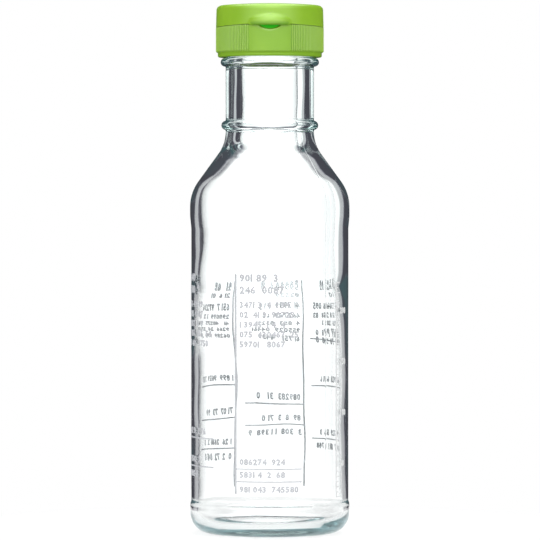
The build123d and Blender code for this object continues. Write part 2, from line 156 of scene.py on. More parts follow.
def outward(points, faces):
    """The faces, turned over together if the volume that they hold comes out below zero."""
    tris = np.concatenate([faces[:, (0, k, k + 1)] for k in range(1, faces.shape[1] - 1)])
    a, b, c = (points[tris[:, k]] for k in range(3))
    volume = np.einsum("ij,ij->", a, np.cross(b, c))
    return faces[:, ::-1] if volume < 0 else faces


def make_piece(name, points, faces, material, smooth=True, tone=None):
    """A mesh object from points in millimetres. A tone per point goes into an attribute."""
    faces = [list(dict.fromkeys(face)) for face in outward(points, faces).tolist()]
    mesh = bpy.data.meshes.new(name)
    mesh.from_pydata((points * TO_M).tolist(), [], [face for face in faces if len(face) > 2])
    if tone is not None:
        mesh.attributes.new("tone", "FLOAT", "POINT").data.foreach_set("value", tone.ravel())
    mesh.validate()
    mesh.update()
    mesh.polygons.foreach_set("use_smooth", np.full(len(mesh.polygons), smooth))
    mesh.materials.append(material)
    piece = bpy.data.objects.new(name, mesh)
    bpy.context.scene.collection.objects.link(piece)
    return piece


def wrap_faces(index, close_v=False):
    """Quads between neighbours of a grid of point numbers, closed round in u, and in v if asked."""
    index = np.concatenate([index, index[:1]], 0)
    if close_v:
        index = np.concatenate([index, index[:, :1]], 1)
    corners = [index[:-1, :-1], index[1:, :-1], index[1:, 1:], index[:-1, 1:]]
    return np.stack([corner.ravel() for corner in corners], 1)


def lathe(name, angles, radius, height, material, close_v=False, tone=None):
    """Points (r cos a, r sin a, z), with r and z over angle and profile.

    An end of the profile at r = 0 becomes one point.
    """
    turn = angles[:, None]
    radius, height = np.broadcast_arrays(radius + 0 * turn, height)
    points = np.stack([radius * np.cos(turn), radius * np.sin(turn), height], 2)
    index = np.arange(radius.size).reshape(radius.shape)
    for row in (0, -1):
        if not close_v and np.allclose(radius[:, row], 0):
            index[:, row] = index[0, row]
    used, faces = np.unique(wrap_faces(index, close_v), return_inverse=True)
    if tone is not None:
        tone = np.broadcast_to(tone, radius.shape).reshape(-1)[used]
    points = points.reshape(-1, 3)[used]
    return make_piece(name, points, faces.reshape(-1, 4), material, tone=tone)


def plates(name, low, high, place, material, cells):
    """Thin plates between corners low and high, given flat as (across, up, out), bent by place."""
    u = np.linspace(0, 1, cells + 1)
    there = np.stack([u, 0 * u, 0 * u], 1)
    back = np.stack([u[::-1], 0 * u, 0 * u + 1], 1)
    ring = np.concatenate([there, back])
    unit = np.concatenate([ring, ring + [0, 1, 0]])
    around = np.arange(len(ring))
    after = np.roll(around, -1)
    sides = np.stack([around, after, after + len(ring), around + len(ring)], 1)
    k = np.arange(cells)
    floor = np.stack([k, k + 1, len(ring) - 2 - k, len(ring) - 1 - k], 1)
    faces = np.concatenate([sides, floor[:, ::-1], floor + len(ring)])
    low, high = np.array(low), np.array(high)
    flat = low[:, None] + unit[None] * (high - low)[:, None]
    shift = np.arange(len(low))[:, None, None] * len(unit)
    faces = (faces[None] + shift).reshape(-1, 4)
    return make_piece(name, place(flat.reshape(-1, 3)), faces, material, smooth=False)


def on_panel(radius, facing):
    """Bends flat points: across becomes an angle from facing, up stays, out adds to the radius."""

    def place(flat):
        angle = facing + flat[:, 0] / radius
        out = radius + flat[:, 2]
        return np.stack([out * np.cos(angle), out * np.sin(angle), flat[:, 1]], 1)

    return place


DIGIT_WEIGHT = 0.05
DIGIT_PITCH_SHARE = 0.73


def digit_shape(digit):
    """One digit in Blender's own font as a closed solid: 1 high, 1 thick, its left foot at zero.

    DIGIT_WEIGHT thickens its strokes, in the font's own unit.
    """
    curve = bpy.data.curves.new("digit", "FONT")
    curve.body = digit
    curve.extrude = 0.5
    curve.offset = DIGIT_WEIGHT
    curve.resolution_u = 2
    maker = bpy.data.objects.new("digit", curve)
    bpy.context.scene.collection.objects.link(maker)
    mesh = bpy.data.meshes.new_from_object(maker)
    points = np.empty(3 * len(mesh.vertices))
    mesh.vertices.foreach_get("co", points)
    mesh.calc_loop_triangles()
    tris = np.empty(3 * len(mesh.loop_triangles), int)
    mesh.loop_triangles.foreach_get("vertices", tris)
    bpy.data.objects.remove(maker)
    bpy.data.meshes.remove(mesh)
    points = points.reshape(-1, 3)
    points, merged = np.unique(np.round(points, 5), axis=0, return_inverse=True)
    low, high = points.min(0), points.max(0)
    points = (points - low) / [high[1] - low[1], high[1] - low[1], high[2] - low[2]]
    return points, merged.ravel()[tris].reshape(-1, 3)


def number_rows(name, rows, thick, place, material):
    """Plain numbers in rows.

    Each row is (text, left, foot, height). Digits and spaces are DIGIT_PITCH_SHARE of that wide.
    """
    shapes = {digit: digit_shape(digit) for digit in "0123456789"}
    points, tris, count = [], [], 0
    for text, left, foot, height in rows:
        for slot, digit in enumerate(text):
            if digit == " ":
                continue
            unit, faces = shapes[digit]
            x = left + slot * height * DIGIT_PITCH_SHARE
            points.append(unit * [height, height, thick] + [x, foot, 0])
            tris.append(faces + count)
            count += len(unit)
    flat = np.concatenate(points)
    return make_piece(name, place(flat), np.concatenate(tris), material, smooth=False)


# Shader maths


class Wire:
    """A node socket whose operators add Math nodes."""

    def __init__(self, shader, socket):
        self.shader = shader
        self.socket = socket

    def maths(self, operation, *others):
        """The result of a Math node whose first value is this one."""
        return self.shader.add("ShaderNodeMath", {"operation": operation}, [self, *others])

    def __add__(self, other):
        return self.maths("ADD", other)

    __radd__ = __add__

    def __rsub__(self, other):
        return self.shader.add("ShaderNodeMath", {"operation": "SUBTRACT"}, [other, self])

    def __mul__(self, other):
        return self.maths("MULTIPLY", other)

    def __truediv__(self, other):
        return self.maths("DIVIDE", other)

    def __pow__(self, other):
        return self.maths("POWER", other)

    def __abs__(self):
        return self.maths("ABSOLUTE")

    def most(self, other):
        """The larger of two values."""
        return self.maths("MAXIMUM", other)

    def least(self, other):
        """The smaller of two values."""
        return self.maths("MINIMUM", other)

    def ramp(self, low, high, to_low=0.0, to_high=1.0):
        """This value taken from low..high to to_low..to_high with smooth ends."""
        settings = {"interpolation_type": "SMOOTHSTEP"}
        return self.shader.add("ShaderNodeMapRange", settings, [self, low, high, to_low, to_high])


class Shader:
    """A material's or world's node tree, with one way to add any node."""

    def __init__(self, owner):
        owner.use_nodes = True
        self.tree = owner.node_tree
        self.tree.nodes.clear()

    def add(self, kind, settings=None, inputs=None, output=0):
        """Adds a node: first its settings, then the values or links of its inputs."""
        node = self.tree.nodes.new(kind)
        for key, value in (settings or {}).items():
            setattr(node, key, value)
        if not isinstance(inputs, dict):
            inputs = dict(enumerate(inputs or []))
        for key, value in inputs.items():
            if isinstance(value, Wire):
                self.tree.links.new(value.socket, node.inputs[key])
            else:
                node.inputs[key].default_value = value
        return Wire(self, node.outputs[output]) if len(node.outputs) else None

    def split(self, vector):
        """The three parts of a vector."""
        first = self.add("ShaderNodeSeparateXYZ", None, [vector])
        return [Wire(self, first.socket.node.outputs[k]) for k in range(3)]

    def noise(self, vector, scale, detail=2.0):
        """Fractal noise from 0 to 1."""
        inputs = {"Vector": vector, "Scale": scale, "Detail": detail}
        return self.add("ShaderNodeTexNoise", None, inputs)

    def blend(self, share, first, second):
        """A colour between two colours."""
        inputs = {0: share, 6: first, 7: second}
        return self.add("ShaderNodeMix", {"data_type": "RGBA"}, inputs, 2)

    def place(self):
        """Object coordinates."""
        return self.add("ShaderNodeTexCoord", output="Object")

    def ray(self, *kinds):
        """Outputs of the light path, such as Is Camera Ray."""
        outputs = self.add("ShaderNodeLightPath").socket.node.outputs
        return [Wire(self, outputs[kind]) for kind in kinds]

    def finish(self, **inputs):
        """The output node of a material or a world."""
        world = isinstance(self.tree.id_data, bpy.types.World)
        kind = "ShaderNodeOutputWorld" if world else "ShaderNodeOutputMaterial"
        self.add(kind, None, inputs)


# Materials

WHITE = (1.0, 1.0, 1.0)
BLACK = (0.0, 0.0, 0.0)

PLASTIC_IOR = 1.5
PLASTIC_SHEEN = 0.6

# The tones at which the painted groove shade, crest highlight and scoop shade start and are full
PLAIN_TONE = 0.5
TONE_RUNS = ((PLAIN_TONE, 0.0), (PLAIN_TONE, 1.0), (0.0, -0.5))

GLASS_IOR = 1.5
GLASS_DENSITY = 6.5
GLASS_SHADOW = (0.96, 0.98, 0.975)

# Where light is thrown back more often than SPENT_DEPTH, its path ends and the glass glows with
# painted
# light: a dark blue grey on the wall, and in the base, which starts and is full at the heights of
# BASE_FADE in metres, a mottle of two colours.
SPENT_DEPTH = 3.5
SPENT_WALL_GLOW = (0.04, 0.058, 0.065)
SPENT_BASE_GLOW = ((0.045, 0.066, 0.074), (0.17, 0.25, 0.27))
BASE_FADE = (0.011, 0.005)


def opaque(rgb):
    """A colour with its alpha."""
    return (*rgb[:3], 1.0)


def material_shader(name, rgb):
    """A new material and its shader, with a plain colour for the viewport."""
    material = bpy.data.materials.new(name)
    material.diffuse_color = opaque(rgb)
    return material, Shader(material)


def moulded(name, base, pale, gloss, relief, tones=None):
    """Satin moulded plastic: mottled from base to pale, with a fine grain.

    The tone attribute picks painted shade for grooves and the scoop, and a painted highlight for
    crests.
    """
    material, shader = material_shader(name, base)
    place = shader.place()
    fine = shader.noise(place, relief["grain"])
    mottle = shader.noise(place, 90.0, 3.0).ramp(0.3, 0.75)
    colour = shader.blend(mottle, opaque(base), opaque(pale))
    if tones:
        tone = shader.add("ShaderNodeAttribute", {"attribute_name": "tone"}, output="Fac")
        for (plain, full), rgb in zip(TONE_RUNS, tones):
            colour = shader.blend(tone.ramp(plain, full), colour, opaque(rgb))
    bump = {"Strength": 0.25, "Distance": relief["depth"], "Height": fine}
    inputs = {
        "Base Color": colour,
        "Roughness": fine.ramp(0.2, 0.8, gloss - 0.05, gloss + 0.07),
        "Normal": shader.add("ShaderNodeBump", None, bump),
        "IOR": PLASTIC_IOR,
        "Specular IOR Level": PLASTIC_SHEEN,
    }
    shader.finish(Surface=shader.add("ShaderNodeBsdfPrincipled", None, inputs))
    return material


def fired_ink(name, base):
    """Pale ceramic ink: thinly mottled and dull."""
    material, shader = material_shader(name, base)
    speck = shader.noise(shader.place(), 900.0, 3.0)
    dark = [0.85 * part for part in base]
    inputs = {
        "Base Color": shader.blend(speck.ramp(0.35, 0.7), opaque(dark), opaque(base)),
        "Roughness": speck.ramp(0.2, 0.8, 0.45, 0.65),
    }
    shader.finish(Surface=shader.add("ShaderNodeBsdfPrincipled", None, inputs))
    return material


def clear_glass(name, tint):
    """Container glass: it bends light, takes some red out over its depth, and lets lamps through.

    Where light is thrown back so often that its path ends, the glass glows with painted light: a
    dark blue grey, mottled with a paler blue green in the base.
    """
    material, shader = material_shader(name, tint)
    shadow, thrown = shader.ray("Is Shadow Ray", "Glossy Depth")
    spent = thrown.maths("GREATER_THAN", SPENT_DEPTH)
    place = shader.place()
    mottle = shader.noise(place, 190.0).ramp(0.45, 0.58)
    base = shader.blend(mottle, *(opaque(rgb) for rgb in SPENT_BASE_GLOW))
    low = shader.split(place)[2].ramp(*BASE_FADE)
    painted_glow = shader.blend(low, opaque(SPENT_WALL_GLOW), base)
    inputs = {
        "Base Color": opaque(WHITE),
        "Roughness": 0.0,
        "IOR": GLASS_IOR,
        "Transmission Weight": 1.0,
        # Painted light: the glass glows where a path ends after many throws
        "Emission Color": shader.blend(spent, opaque(BLACK), painted_glow),
        "Emission Strength": 1.0,
    }
    surface = shader.add("ShaderNodeBsdfPrincipled", None, inputs)
    clear = shader.add("ShaderNodeBsdfTransparent", None, [opaque(GLASS_SHADOW)])
    shown = shader.add("ShaderNodeMixShader", None, [shadow, surface, clear])
    inputs = {"Color": opaque(tint), "Density": GLASS_DENSITY}
    depth = shader.add("ShaderNodeVolumeAbsorption", None, inputs)
    shader.finish(Surface=shown, Volume=depth)
    return material


# Settings


def length(name, mm, description):
    """A size, given in millimetres and kept in metres."""
    return bpy.props.FloatProperty(
        name=name, default=mm * TO_M, min=0.0, unit="LENGTH", precision=5, description=description
    )


def whole(name, default, description):
    """A count."""
    return bpy.props.IntProperty(name=name, default=default, min=1, description=description)


def turns(name, default, description):
    """A number of turns."""
    return bpy.props.FloatProperty(name=name, default=default, min=0.0, description=description)


def degrees(name, default, description):
    """An angle, given in degrees."""
    return bpy.props.FloatProperty(
        name=name, default=math.radians(default), subtype="ANGLE", description=description
    )


def shade(name, default, description):
    """A colour."""
    return bpy.props.FloatVectorProperty(
        name=name, default=default, description=description, subtype="COLOR", size=3,
        min=0.0, max=1.0,
    )


def in_mm(group):
    """A group's settings with its lengths in millimetres."""
    values = {}
    for key, setting in group.bl_rna.properties.items():
        if key not in ("rna_type", "name"):
            value = getattr(group, key)
            values[key] = value / TO_M if setting.unit == "LENGTH" else value
    return SimpleNamespace(**values)


class BottleSizes(bpy.types.PropertyGroup):
    """The glass."""

    panel_r: length("Panel radius", 32.45, "Radius of the printed panel")
    heel_out: length("Heel stand-out", 0.4, "How far the heel stands out past the panel")
    heel_corner: length("Heel corner", 8.2, "Radius of the heel's corner")
    heel_top: length("Heel top", 12.4, "Height where the heel ends")
    ring_w: length("Base ring", 5.8, "Width of the ring that the bottle stands on")
    punt: length("Punt", 2.6, "How far the base is pushed up")
    floor_z: length("Floor height", 3.8, "Height of the inside floor at its edge")
    floor_rise: length("Floor rise", 2.6, "How far the inside floor rises at its middle")
    floor_corner: length("Floor corner", 5.0, "Radius of the corner inside")
    panel_step: length("Panel step", 0.8, "Height of the step from heel to panel")
    panel_top: length("Panel top", 125.8, "Height where the panel ends")
    shoulder_out: length("Shoulder stand-out", 0.49, "How far the shoulder stands out")
    shoulder_low: length("Shoulder foot", 130.8, "Height where the shoulder's band starts")
    shoulder_z: length("Shoulder height", 134.5, "Height where the shoulder starts to turn in")
    shoulder_round: length("Shoulder round", 18.0, "Radius of the shoulder's round")
    shoulder_hollow: length("Shoulder hollow", 16.0, "Radius of the hollow under the neck")
    shoulder_angle: degrees("Shoulder angle", 36.0, "Slope of the shoulder from upright")
    wall: length("Body wall", 2.3, "Thickness of the wall close to the floor")
    neck_r: length("Neck radius", 18.2, "Outer radius of the neck")
    mouth_r: length("Mouth radius", 13.5, "Inner radius at the rim")
    mouth_h: length("Mouth height", 4.0, "Height over which the bore widens to the mouth")
    low_bead_z: length("Lower bead", 168.2, "Height of the lower bead")
    low_bead_out: length("Lower bead stand-out", 1.8, "How far the lower bead stands out")
    low_bead_half: length("Lower bead half height", 1.9, "Half the lower bead's height")
    high_bead_z: length("Upper bead", 194.2, "Height of the upper bead")
    high_bead_out: length("Upper bead stand-out", 2.1, "How far the upper bead stands out")
    high_bead_half: length("Upper bead half height", 1.7, "Half the upper bead's height")
    rim_z: length("Rim height", 205.6, "Height of the rim")
    rim_round: length("Rim round", 1.2, "Radius of the rim's outer corner")
    rim_inner_round: length("Inner rim round", 0.8, "Radius of the rim's inner corner")
    finish_step: length("Finish step", 0.5, "How much narrower the threaded part is")
    pitch: length("Thread pitch", 4.2, "Rise of the thread in one turn")
    thread_out: length("Thread depth", 1.2, "How far the thread stands out")
    thread_root: length("Thread root", 2.4, "Width of the thread at its root")
    thread_crest: length("Thread crest", 1.2, "Width of the thread at its crest")
    thread_down: length("Thread below rim", 2.6, "From the rim down to the thread's upper end")
    thread_turns: turns("Thread turns", 1.2, "Turns of the thread")
    unevenness: length("Unevenness", 0.08, "How far the inside wall ripples")
    tilt: length("Floor tilt", 0.5, "How far the inside floor tilts")
    ripple: length("Ripple", 0.035, "How far the outside ripples")
    seam: length("Mould seam", 0.07, "How far the mould seams stand out")
    seam_angle: degrees("Seam angle", -45.0, "Where the first mould seam stands")


class ClosureSizes(bpy.types.PropertyGroup):
    """The closure and lid."""

    foot_z: length("Foot height", 196.2, "Height of the closure's lower edge")
    foot_r: length("Foot radius", 21.45, "Radius of the smooth foot ring")
    foot_round: length("Foot round", 0.4, "Radius of the foot's lower corner")
    band_z: length("Band height", 198.2, "Height where the ribbed band starts")
    band_r: length("Band radius", 21.85, "Radius between the ribs")
    rib_out: length("Rib height", 0.4, "How far the ribs stand out")
    ribs: whole("Ribs", 168, "Ribs in a full circle")
    panel_half: length("Front panel half width", 8.5, "Half the width of the smooth front panel")
    bore: length("Bore radius", 19.3, "Radius of the closure's bore")
    collar_r: length("Collar radius", 20.3, "Outer radius of the collar inside the lid")
    collar_z: length("Collar height", 210.65, "Height of the collar's upper edge")
    deck_low: length("Deck underside", 206.6, "Height of the deck's underside")
    deck_top: length("Deck top", 208.1, "Height of the deck's upper side")
    seat_r: length("Spout hole", 6.95, "Radius of the hole for the spout")
    thread_up: length("Thread above foot", 2.4, "From the closure's lower edge to its thread")
    thread_root: length("Thread root", 1.8, "Width of the closure's thread at its root")
    thread_crest: length("Thread crest", 0.9, "Width of the closure's thread at its crest")
    thread_turns: turns("Thread turns", 1.15, "Turns of the closure's thread")
    seam_z: length("Seam height", 209.1, "Height of the seam at the front")
    seam_rise: length("Seam arch", 0.7, "How much lower the seam is at the sides")
    seam_gap: length("Seam gap", 0.16, "Gap between closure and lid")
    scoop_r: length("Scoop radius", 3.4, "Radius of the thumb scoop across its length")
    scoop_half: length("Scoop half length", 8.5, "Half the length of the body that cuts the scoop")
    scoop_in: length("Scoop depth", 1.3, "How deep the scoop is")
    scoop_up: length("Scoop rise", 0.6, "How far the scoop's middle lies above the seam")
    lid_r: length("Lid radius", 22.2, "Radius of the lid at the seam")
    lid_draft: length("Lid draft", 0.2, "How much narrower the lid is at the top")
    lid_bore: length("Lid bore", 20.7, "Inner radius of the lid")
    lid_roof: length("Lid ceiling", 216.0, "Height of the lid's ceiling")
    crest_z: length("Lid height", 218.3, "Height of the middle of the lid")
    crown: length("Crown", 0.8, "How far the roof is domed")
    lid_round: length("Lid round", 1.9, "Radius of the roof's edge")
    lip_out: length("Lip stand-out", 1.4, "How far the thumb lip stands out")
    lip_half: length("Lip half width", 8.7, "Half the width of the thumb lip")
    lip_hang: length("Lip hang", 0.5, "How far the lip hangs below the lid's edge")
    ring_r: length("Plug ring", 7.55, "Inner radius of the ring that holds the plug")
    ring_w: length("Plug ring wall", 1.0, "Thickness of that ring")
    ring_h: length("Plug ring height", 1.4, "Height of that ring")
    flat_y: length("Hinge flat", 21.3, "How far back the flats that carry the hinge lie")
    strip_t: length("Hinge thickness", 0.5, "Thickness of the hinge's strips")
    strip_half: length("Hinge half height", 1.8, "Half the height of the hinge's strips")
    fold_in: length("Fold depth", 0.12, "How much each side is drawn in at the fold")
    fold_half: length("Fold half height", 0.5, "Half the height of the fold")
    web_half: length("Web half width", 2.6, "Half the width of the middle web")
    strap_in: length("Strap inner edge", 3.4, "From the middle to a strap's near edge")
    strap_out: length("Strap outer edge", 5.4, "From the middle to a strap's far edge")


class FittingSizes(bpy.types.PropertyGroup):
    """The liner, spout and plug."""

    liner_r: length("Liner radius", 18.9, "Outer radius of the liner")
    liner_bore: length("Liner bore", 12.9, "Inner radius of the liner")
    spout_bore: length("Spout bore", 4.5, "Radius of the spout's bore")
    spout_low: length("Spout foot", 204.4, "Height of the spout's lower end")
    spout_top: length("Spout top", 212.7, "Height of the spout's mouth")
    barrel_r: length("Barrel radius", 6.9, "Radius of the barrel in the deck")
    snap_out: length("Snap bead", 0.35, "How far the snap bead stands out")
    snap_h: length("Snap height", 0.75, "Height of the snap bead's slope")
    flange_r: length("Flange radius", 9.0, "Radius of the spout's flange")
    flange_t: length("Flange thickness", 1.0, "Thickness of the spout's and the plug's flange")
    tube_r: length("Tube radius", 6.0, "Outer radius of the spout's tube")
    roll_out: length("Rolled lip", 0.5, "How far the rolled lip stands out")
    roll_half: length("Rolled lip half height", 0.6, "Half the height of the rolled lip")
    plug_r: length("Plug radius", 4.2, "Outer radius of the plug")
    plug_wall: length("Plug wall", 1.2, "Thickness of the plug's wall")
    plug_low: length("Plug foot", 210.8, "Height of the plug's lower end")
    taper_in: length("Plug taper", 0.4, "How much the plug narrows")
    taper_h: length("Plug taper height", 1.2, "Height of the taper")
    plug_flange_r: length("Plug flange radius", 7.5, "Radius of the plug's flange")


class PrintSizes(bpy.types.PropertyGroup):
    """The fired print."""

    thick: length("Ink thickness", 0.1, "How far the ink stands out from the glass")
    line: length("Line width", 0.5, "Width of the fill lines and ticks")
    rule: length("Rule width", 0.85, "Width of the upright rules")
    low: length("Column foot", 18.0, "Height of the columns' lower ends")
    high: length("Column head", 107.3, "Height of the columns' upper ends")
    span: degrees("Column span", 49.5, "Angle that a column's fill lines take up")
    margin: length("Margin", 1.3, "From a rule to the first digit")
    title: length("Title digits", 3.2, "Height of the digits in the two upper rows")
    title_row: length("Title rows", 4.9, "From one upper row to the next")
    body: length("Body digits", 2.6, "Height of the other digits")
    body_row: length("Body rows", 4.0, "From one lower row to the next")
    text_span: degrees("Text span", 52.0, "Angle that a column's longest row takes up")
    body_rows: whole("Rows", 5, "Lower rows in each column")
    scale_low: length("Scale foot", 15.7, "Height of the scale's lower end")
    scale_high: length("Scale head", 103.9, "Height of the scale's upper end")
    scale_angle: degrees("Scale angle", -34.0, "Where the scale stands")
    ticks: whole("Ticks", 43, "Ticks of the scale")
    first_mark: whole("First mark", 6, "Tick that carries the first number")
    mark_step: whole("Mark step", 10, "Ticks from number to number")
    long_tick: length("Long ticks", 3.1, "Length of every second tick")
    short_tick: length("Short ticks", 1.8, "Length of the ticks between them")


class Finishes(bpy.types.PropertyGroup):
    """Colours."""

    green: shade("Lid green", (0.213, 0.42, 0.006), "Colour of the closure and lid")
    pale_green: shade("Pale green", (0.235, 0.445, 0.010), "Paler mottling of the closure")
    # Painted shade between the ribs
    groove: shade("Groove green", (0.08, 0.24, 0.005), "Colour between the ribs")
    # Painted highlight on the ribs' crests
    crest: shade("Crest green", (0.44, 0.62, 0.16), "Colour of the ribs' crests")
    # Painted shade in the thumb scoop: less red and a deeper green
    hollow: shade("Scoop green", (0.05, 0.75, 0.025), "Colour in the thumb scoop")
    white: shade("Inner white", (0.66, 0.67, 0.64), "Colour of the spout and plug")
    foam: shade("Liner", (0.72, 0.72, 0.70), "Colour of the liner")
    ink: shade("Ink", (0.50, 0.51, 0.54), "Colour of the fired print")
    glass: shade("Glass tint", (0.3, 0.93, 0.85), "What the glass lets through over its depth")


class StageSizes(bpy.types.PropertyGroup):
    """The camera and the floor."""

    distance: length("Camera distance", 1697, "From the bottle's axis")
    eye: length("Eye level", 135.4, "Height of the camera")
    aim: length("Aim height", 108.5, "Height of the point that the camera looks at")
    floor: length("Floor radius", 160, "Radius of the floor")
    lens: bpy.props.FloatProperty(
        name="Lens", default=274.0, unit="CAMERA", description="Focal length on a 36 mm sensor"
    )


GROUPS = {
    "bottle_sizes": BottleSizes,
    "closure_sizes": ClosureSizes,
    "fitting_sizes": FittingSizes,
    "print_sizes": PrintSizes,
    "bottle_finishes": Finishes,
    "bottle_stage": StageSizes,
}


# The glass


def shoulder_rows(s, wide, narrow, round_r, hollow_r):
    """A round of round_r, a straight slope and a hollow of hollow_r, from wide in to narrow."""
    slope = math.degrees(s.shoulder_angle)
    start = bend((wide - round_r, s.shoulder_z), round_r, 0, slope)
    inwards = wide - narrow - (round_r + hollow_r) * (1 - math.cos(s.shoulder_angle))
    foot = start[-1] + [-inwards, inwards / math.tan(s.shoulder_angle)]
    centre = (narrow + hollow_r, foot[1] + hollow_r * math.sin(s.shoulder_angle))
    hollow = bend(centre, hollow_r, 180 + slope, 180)
    return np.concatenate([start, run(start[-1], foot), hollow])


def outer_rows(s):
    """The outside of the glass, from the middle of the base up to the rim."""
    heel = s.panel_r + s.heel_out
    band = s.panel_r + s.shoulder_out
    ring = heel - s.heel_corner
    finish = s.neck_r - s.finish_step
    finish_z = s.high_bead_z + s.high_bead_half + s.finish_step
    shoulder = shoulder_rows(s, band, s.neck_r, s.shoulder_round, s.shoulder_hollow)
    return np.concatenate(
        [
            dome(ring - s.ring_w, 0, s.punt)[::-1],
            run((ring - s.ring_w, 0), (ring, 0)),
            bend((ring, s.heel_corner), s.heel_corner, -90, 0),
            run((heel, s.heel_corner), (heel, s.heel_top), (s.panel_r, s.heel_top + s.panel_step)),
            run((s.panel_r, s.heel_top + s.panel_step), (s.panel_r, s.panel_top)),
            run((s.panel_r, s.panel_top), (band, s.shoulder_low), (band, s.shoulder_z)),
            shoulder,
            run(shoulder[-1], (s.neck_r, s.low_bead_z - s.low_bead_half)),
            bulge(s.neck_r, s.low_bead_z, s.low_bead_out, s.low_bead_half),
            run(
                (s.neck_r, s.low_bead_z + s.low_bead_half),
                (s.neck_r, s.high_bead_z - s.high_bead_half),
            ),
            bulge(s.neck_r, s.high_bead_z, s.high_bead_out, s.high_bead_half),
            run((s.neck_r, s.high_bead_z + s.high_bead_half), (finish, finish_z)),
            run((finish, finish_z), (finish, s.rim_z - s.rim_round)),
            bend((finish - s.rim_round, s.rim_z - s.rim_round), s.rim_round, 0, 90),
        ]
    )


def inner_rows(s):
    """The inside of the glass, from the middle of the floor up to the rim."""
    cavity = s.panel_r - s.wall
    bore = s.neck_r - s.wall
    corner = (cavity - s.floor_corner, s.floor_z + s.floor_corner)
    shoulder = shoulder_rows(s, cavity, bore, s.shoulder_round, s.shoulder_hollow)
    lip = (s.mouth_r + s.rim_inner_round, s.rim_z - s.rim_inner_round)
    return np.concatenate(
        [
            dome(corner[0], s.floor_z, s.floor_rise)[::-1],
            bend(corner, s.floor_corner, -90, 0),
            run((cavity, corner[1]), (cavity, s.shoulder_z)),
            shoulder,
            run(shoulder[-1], (bore, s.high_bead_z), (s.mouth_r, s.high_bead_z + s.mouth_h)),
            run((s.mouth_r, s.high_bead_z + s.mouth_h), (s.mouth_r, lip[1])),
            bend(lip, s.rim_inner_round, 180, 90),
        ]
    )


def thread_height(angles, z, start_z, pitch, turn_count, root_w, crest_w, out):
    """How far a helical ridge stands out.

    It's a smooth step of the height from the nearest turn, and its ends fade over run_out turns.
    """
    run_out = 0.12
    lead = (angles[:, None] % FULL_TURN) / FULL_TURN
    turn = lead + np.round((z[None] - start_z) / pitch - lead)
    away = np.abs(z[None] - start_z - pitch * turn)
    ridge = smooth_step(-away, -root_w / 2, -crest_w / 2)
    fade = np.clip(turn / run_out, 0, 1) * np.clip((turn_count - turn) / run_out, 0, 1)
    return out * ridge * fade


def seam_angles(s):
    """The two mould seams, opposite each other, in degrees."""
    first = math.degrees(s.seam_angle)
    return first, first + 180


def glass_angles(s, count=168, reach=1.5):
    """Even angles, with more of them close to the mould seams."""
    even = np.linspace(0, 360, count, endpoint=False)
    seams = seam_angles(s)
    near = np.concatenate([seam + np.linspace(-reach, reach, 11) for seam in seams])
    far = np.min([np.abs((even - seam + 180) % 360 - 180) for seam in seams], 0)
    return np.radians(np.sort(np.concatenate([even[far > reach * 1.2], near % 360])))


def outside_radius(s, angles, rows):
    """The outer radius over angle a and profile: the thread, the mould seams and a slight ripple.

    The ripple is a sum of two cosines of whole multiples of a, which shift with height z.
    """
    seam_half, fade_h = 0.8, 12
    a, z = angles[:, None], rows[:, 1]
    start_z = s.rim_z - s.thread_down - s.pitch * s.thread_turns
    section = (s.thread_root, s.thread_crest, s.thread_out)
    ridge = thread_height(angles, z, start_z, s.pitch, s.thread_turns, *section)
    finish = (z > s.high_bead_z + s.high_bead_half) & (rows[:, 0] > s.neck_r - s.rim_round)
    body = smooth_step(z, s.ring_w, s.heel_top)
    body = body * smooth_step(-z, -s.low_bead_z, -s.low_bead_z + fade_h)
    radius = rows[:, 0] + ridge * finish
    for seam in seam_angles(s):
        gap = (np.degrees(a) - seam + 180) % 360 - 180
        radius = radius + s.seam * bump_at(gap, 0, seam_half) * body
    wave = 0.57 * np.cos(5 * a + z / 17) + 0.43 * np.cos(11 * a - z / 9) - 1
    return radius + s.ripple * wave * body


# Thickness of the wall at the left and right, in millimetres, over the height
WALL_HEIGHTS = (8, 18, 34, 55, 71, 86, 97, 107, 121, 133, 141, 146, 150, 155, 162, 174)
LEFT_WALL = (2.2, 2.4, 2.9, 3.2, 2.8, 1.5, 2.3, 3.8, 4.6, 3.9, 3.6, 4.0, 4.6, 5.4, 6.2, 6.6)
RIGHT_WALL = (2.0, 2.3, 2.8, 2.9, 2.7, 3.0, 3.5, 4.8, 5.1, 5.0, 5.0, 5.2, 5.6, 5.9, 6.3, 6.9)


def eased(z, knots, values):
    """Goes from value to value at the knots, each time with a smooth step."""
    total = values[0] + 0 * z
    for k in range(1, len(knots)):
        total = total + (values[k] - values[k - 1]) * smooth_step(z, knots[k - 1], knots[k])
    return total


def inside_radius(s, angles, rows):
    """The inner radius over angle a and profile: left and right walls joined by cos a, and ripples.

    The ripples are three cosines of whole multiples of a, which shift with height z.
    """
    fade_h = 8
    a, z = angles[:, None], rows[:, 1]
    left, right = eased(z, WALL_HEIGHTS, LEFT_WALL), eased(z, WALL_HEIGHTS, RIGHT_WALL)
    wall = (left + right) / 2 + (right - left) / 2 * np.cos(a)
    ripples = (
        np.cos(2 * a - 0.7 + 0.5 * np.sin(z / 17))
        + 0.8 * np.cos(3 * a + z / 9 + 1.0)
        + 0.3 * np.cos(7 * a - z / 4)
    )
    reach = smooth_step(z, s.floor_z, s.floor_z + s.floor_corner)
    body = reach * smooth_step(-z, -s.high_bead_z - s.mouth_h, -s.high_bead_z)
    low = reach * smooth_step(-z, -s.high_bead_z, -s.high_bead_z + fade_h)
    return rows[:, 0] - (wall - s.wall) * body - s.unevenness * ripples * low


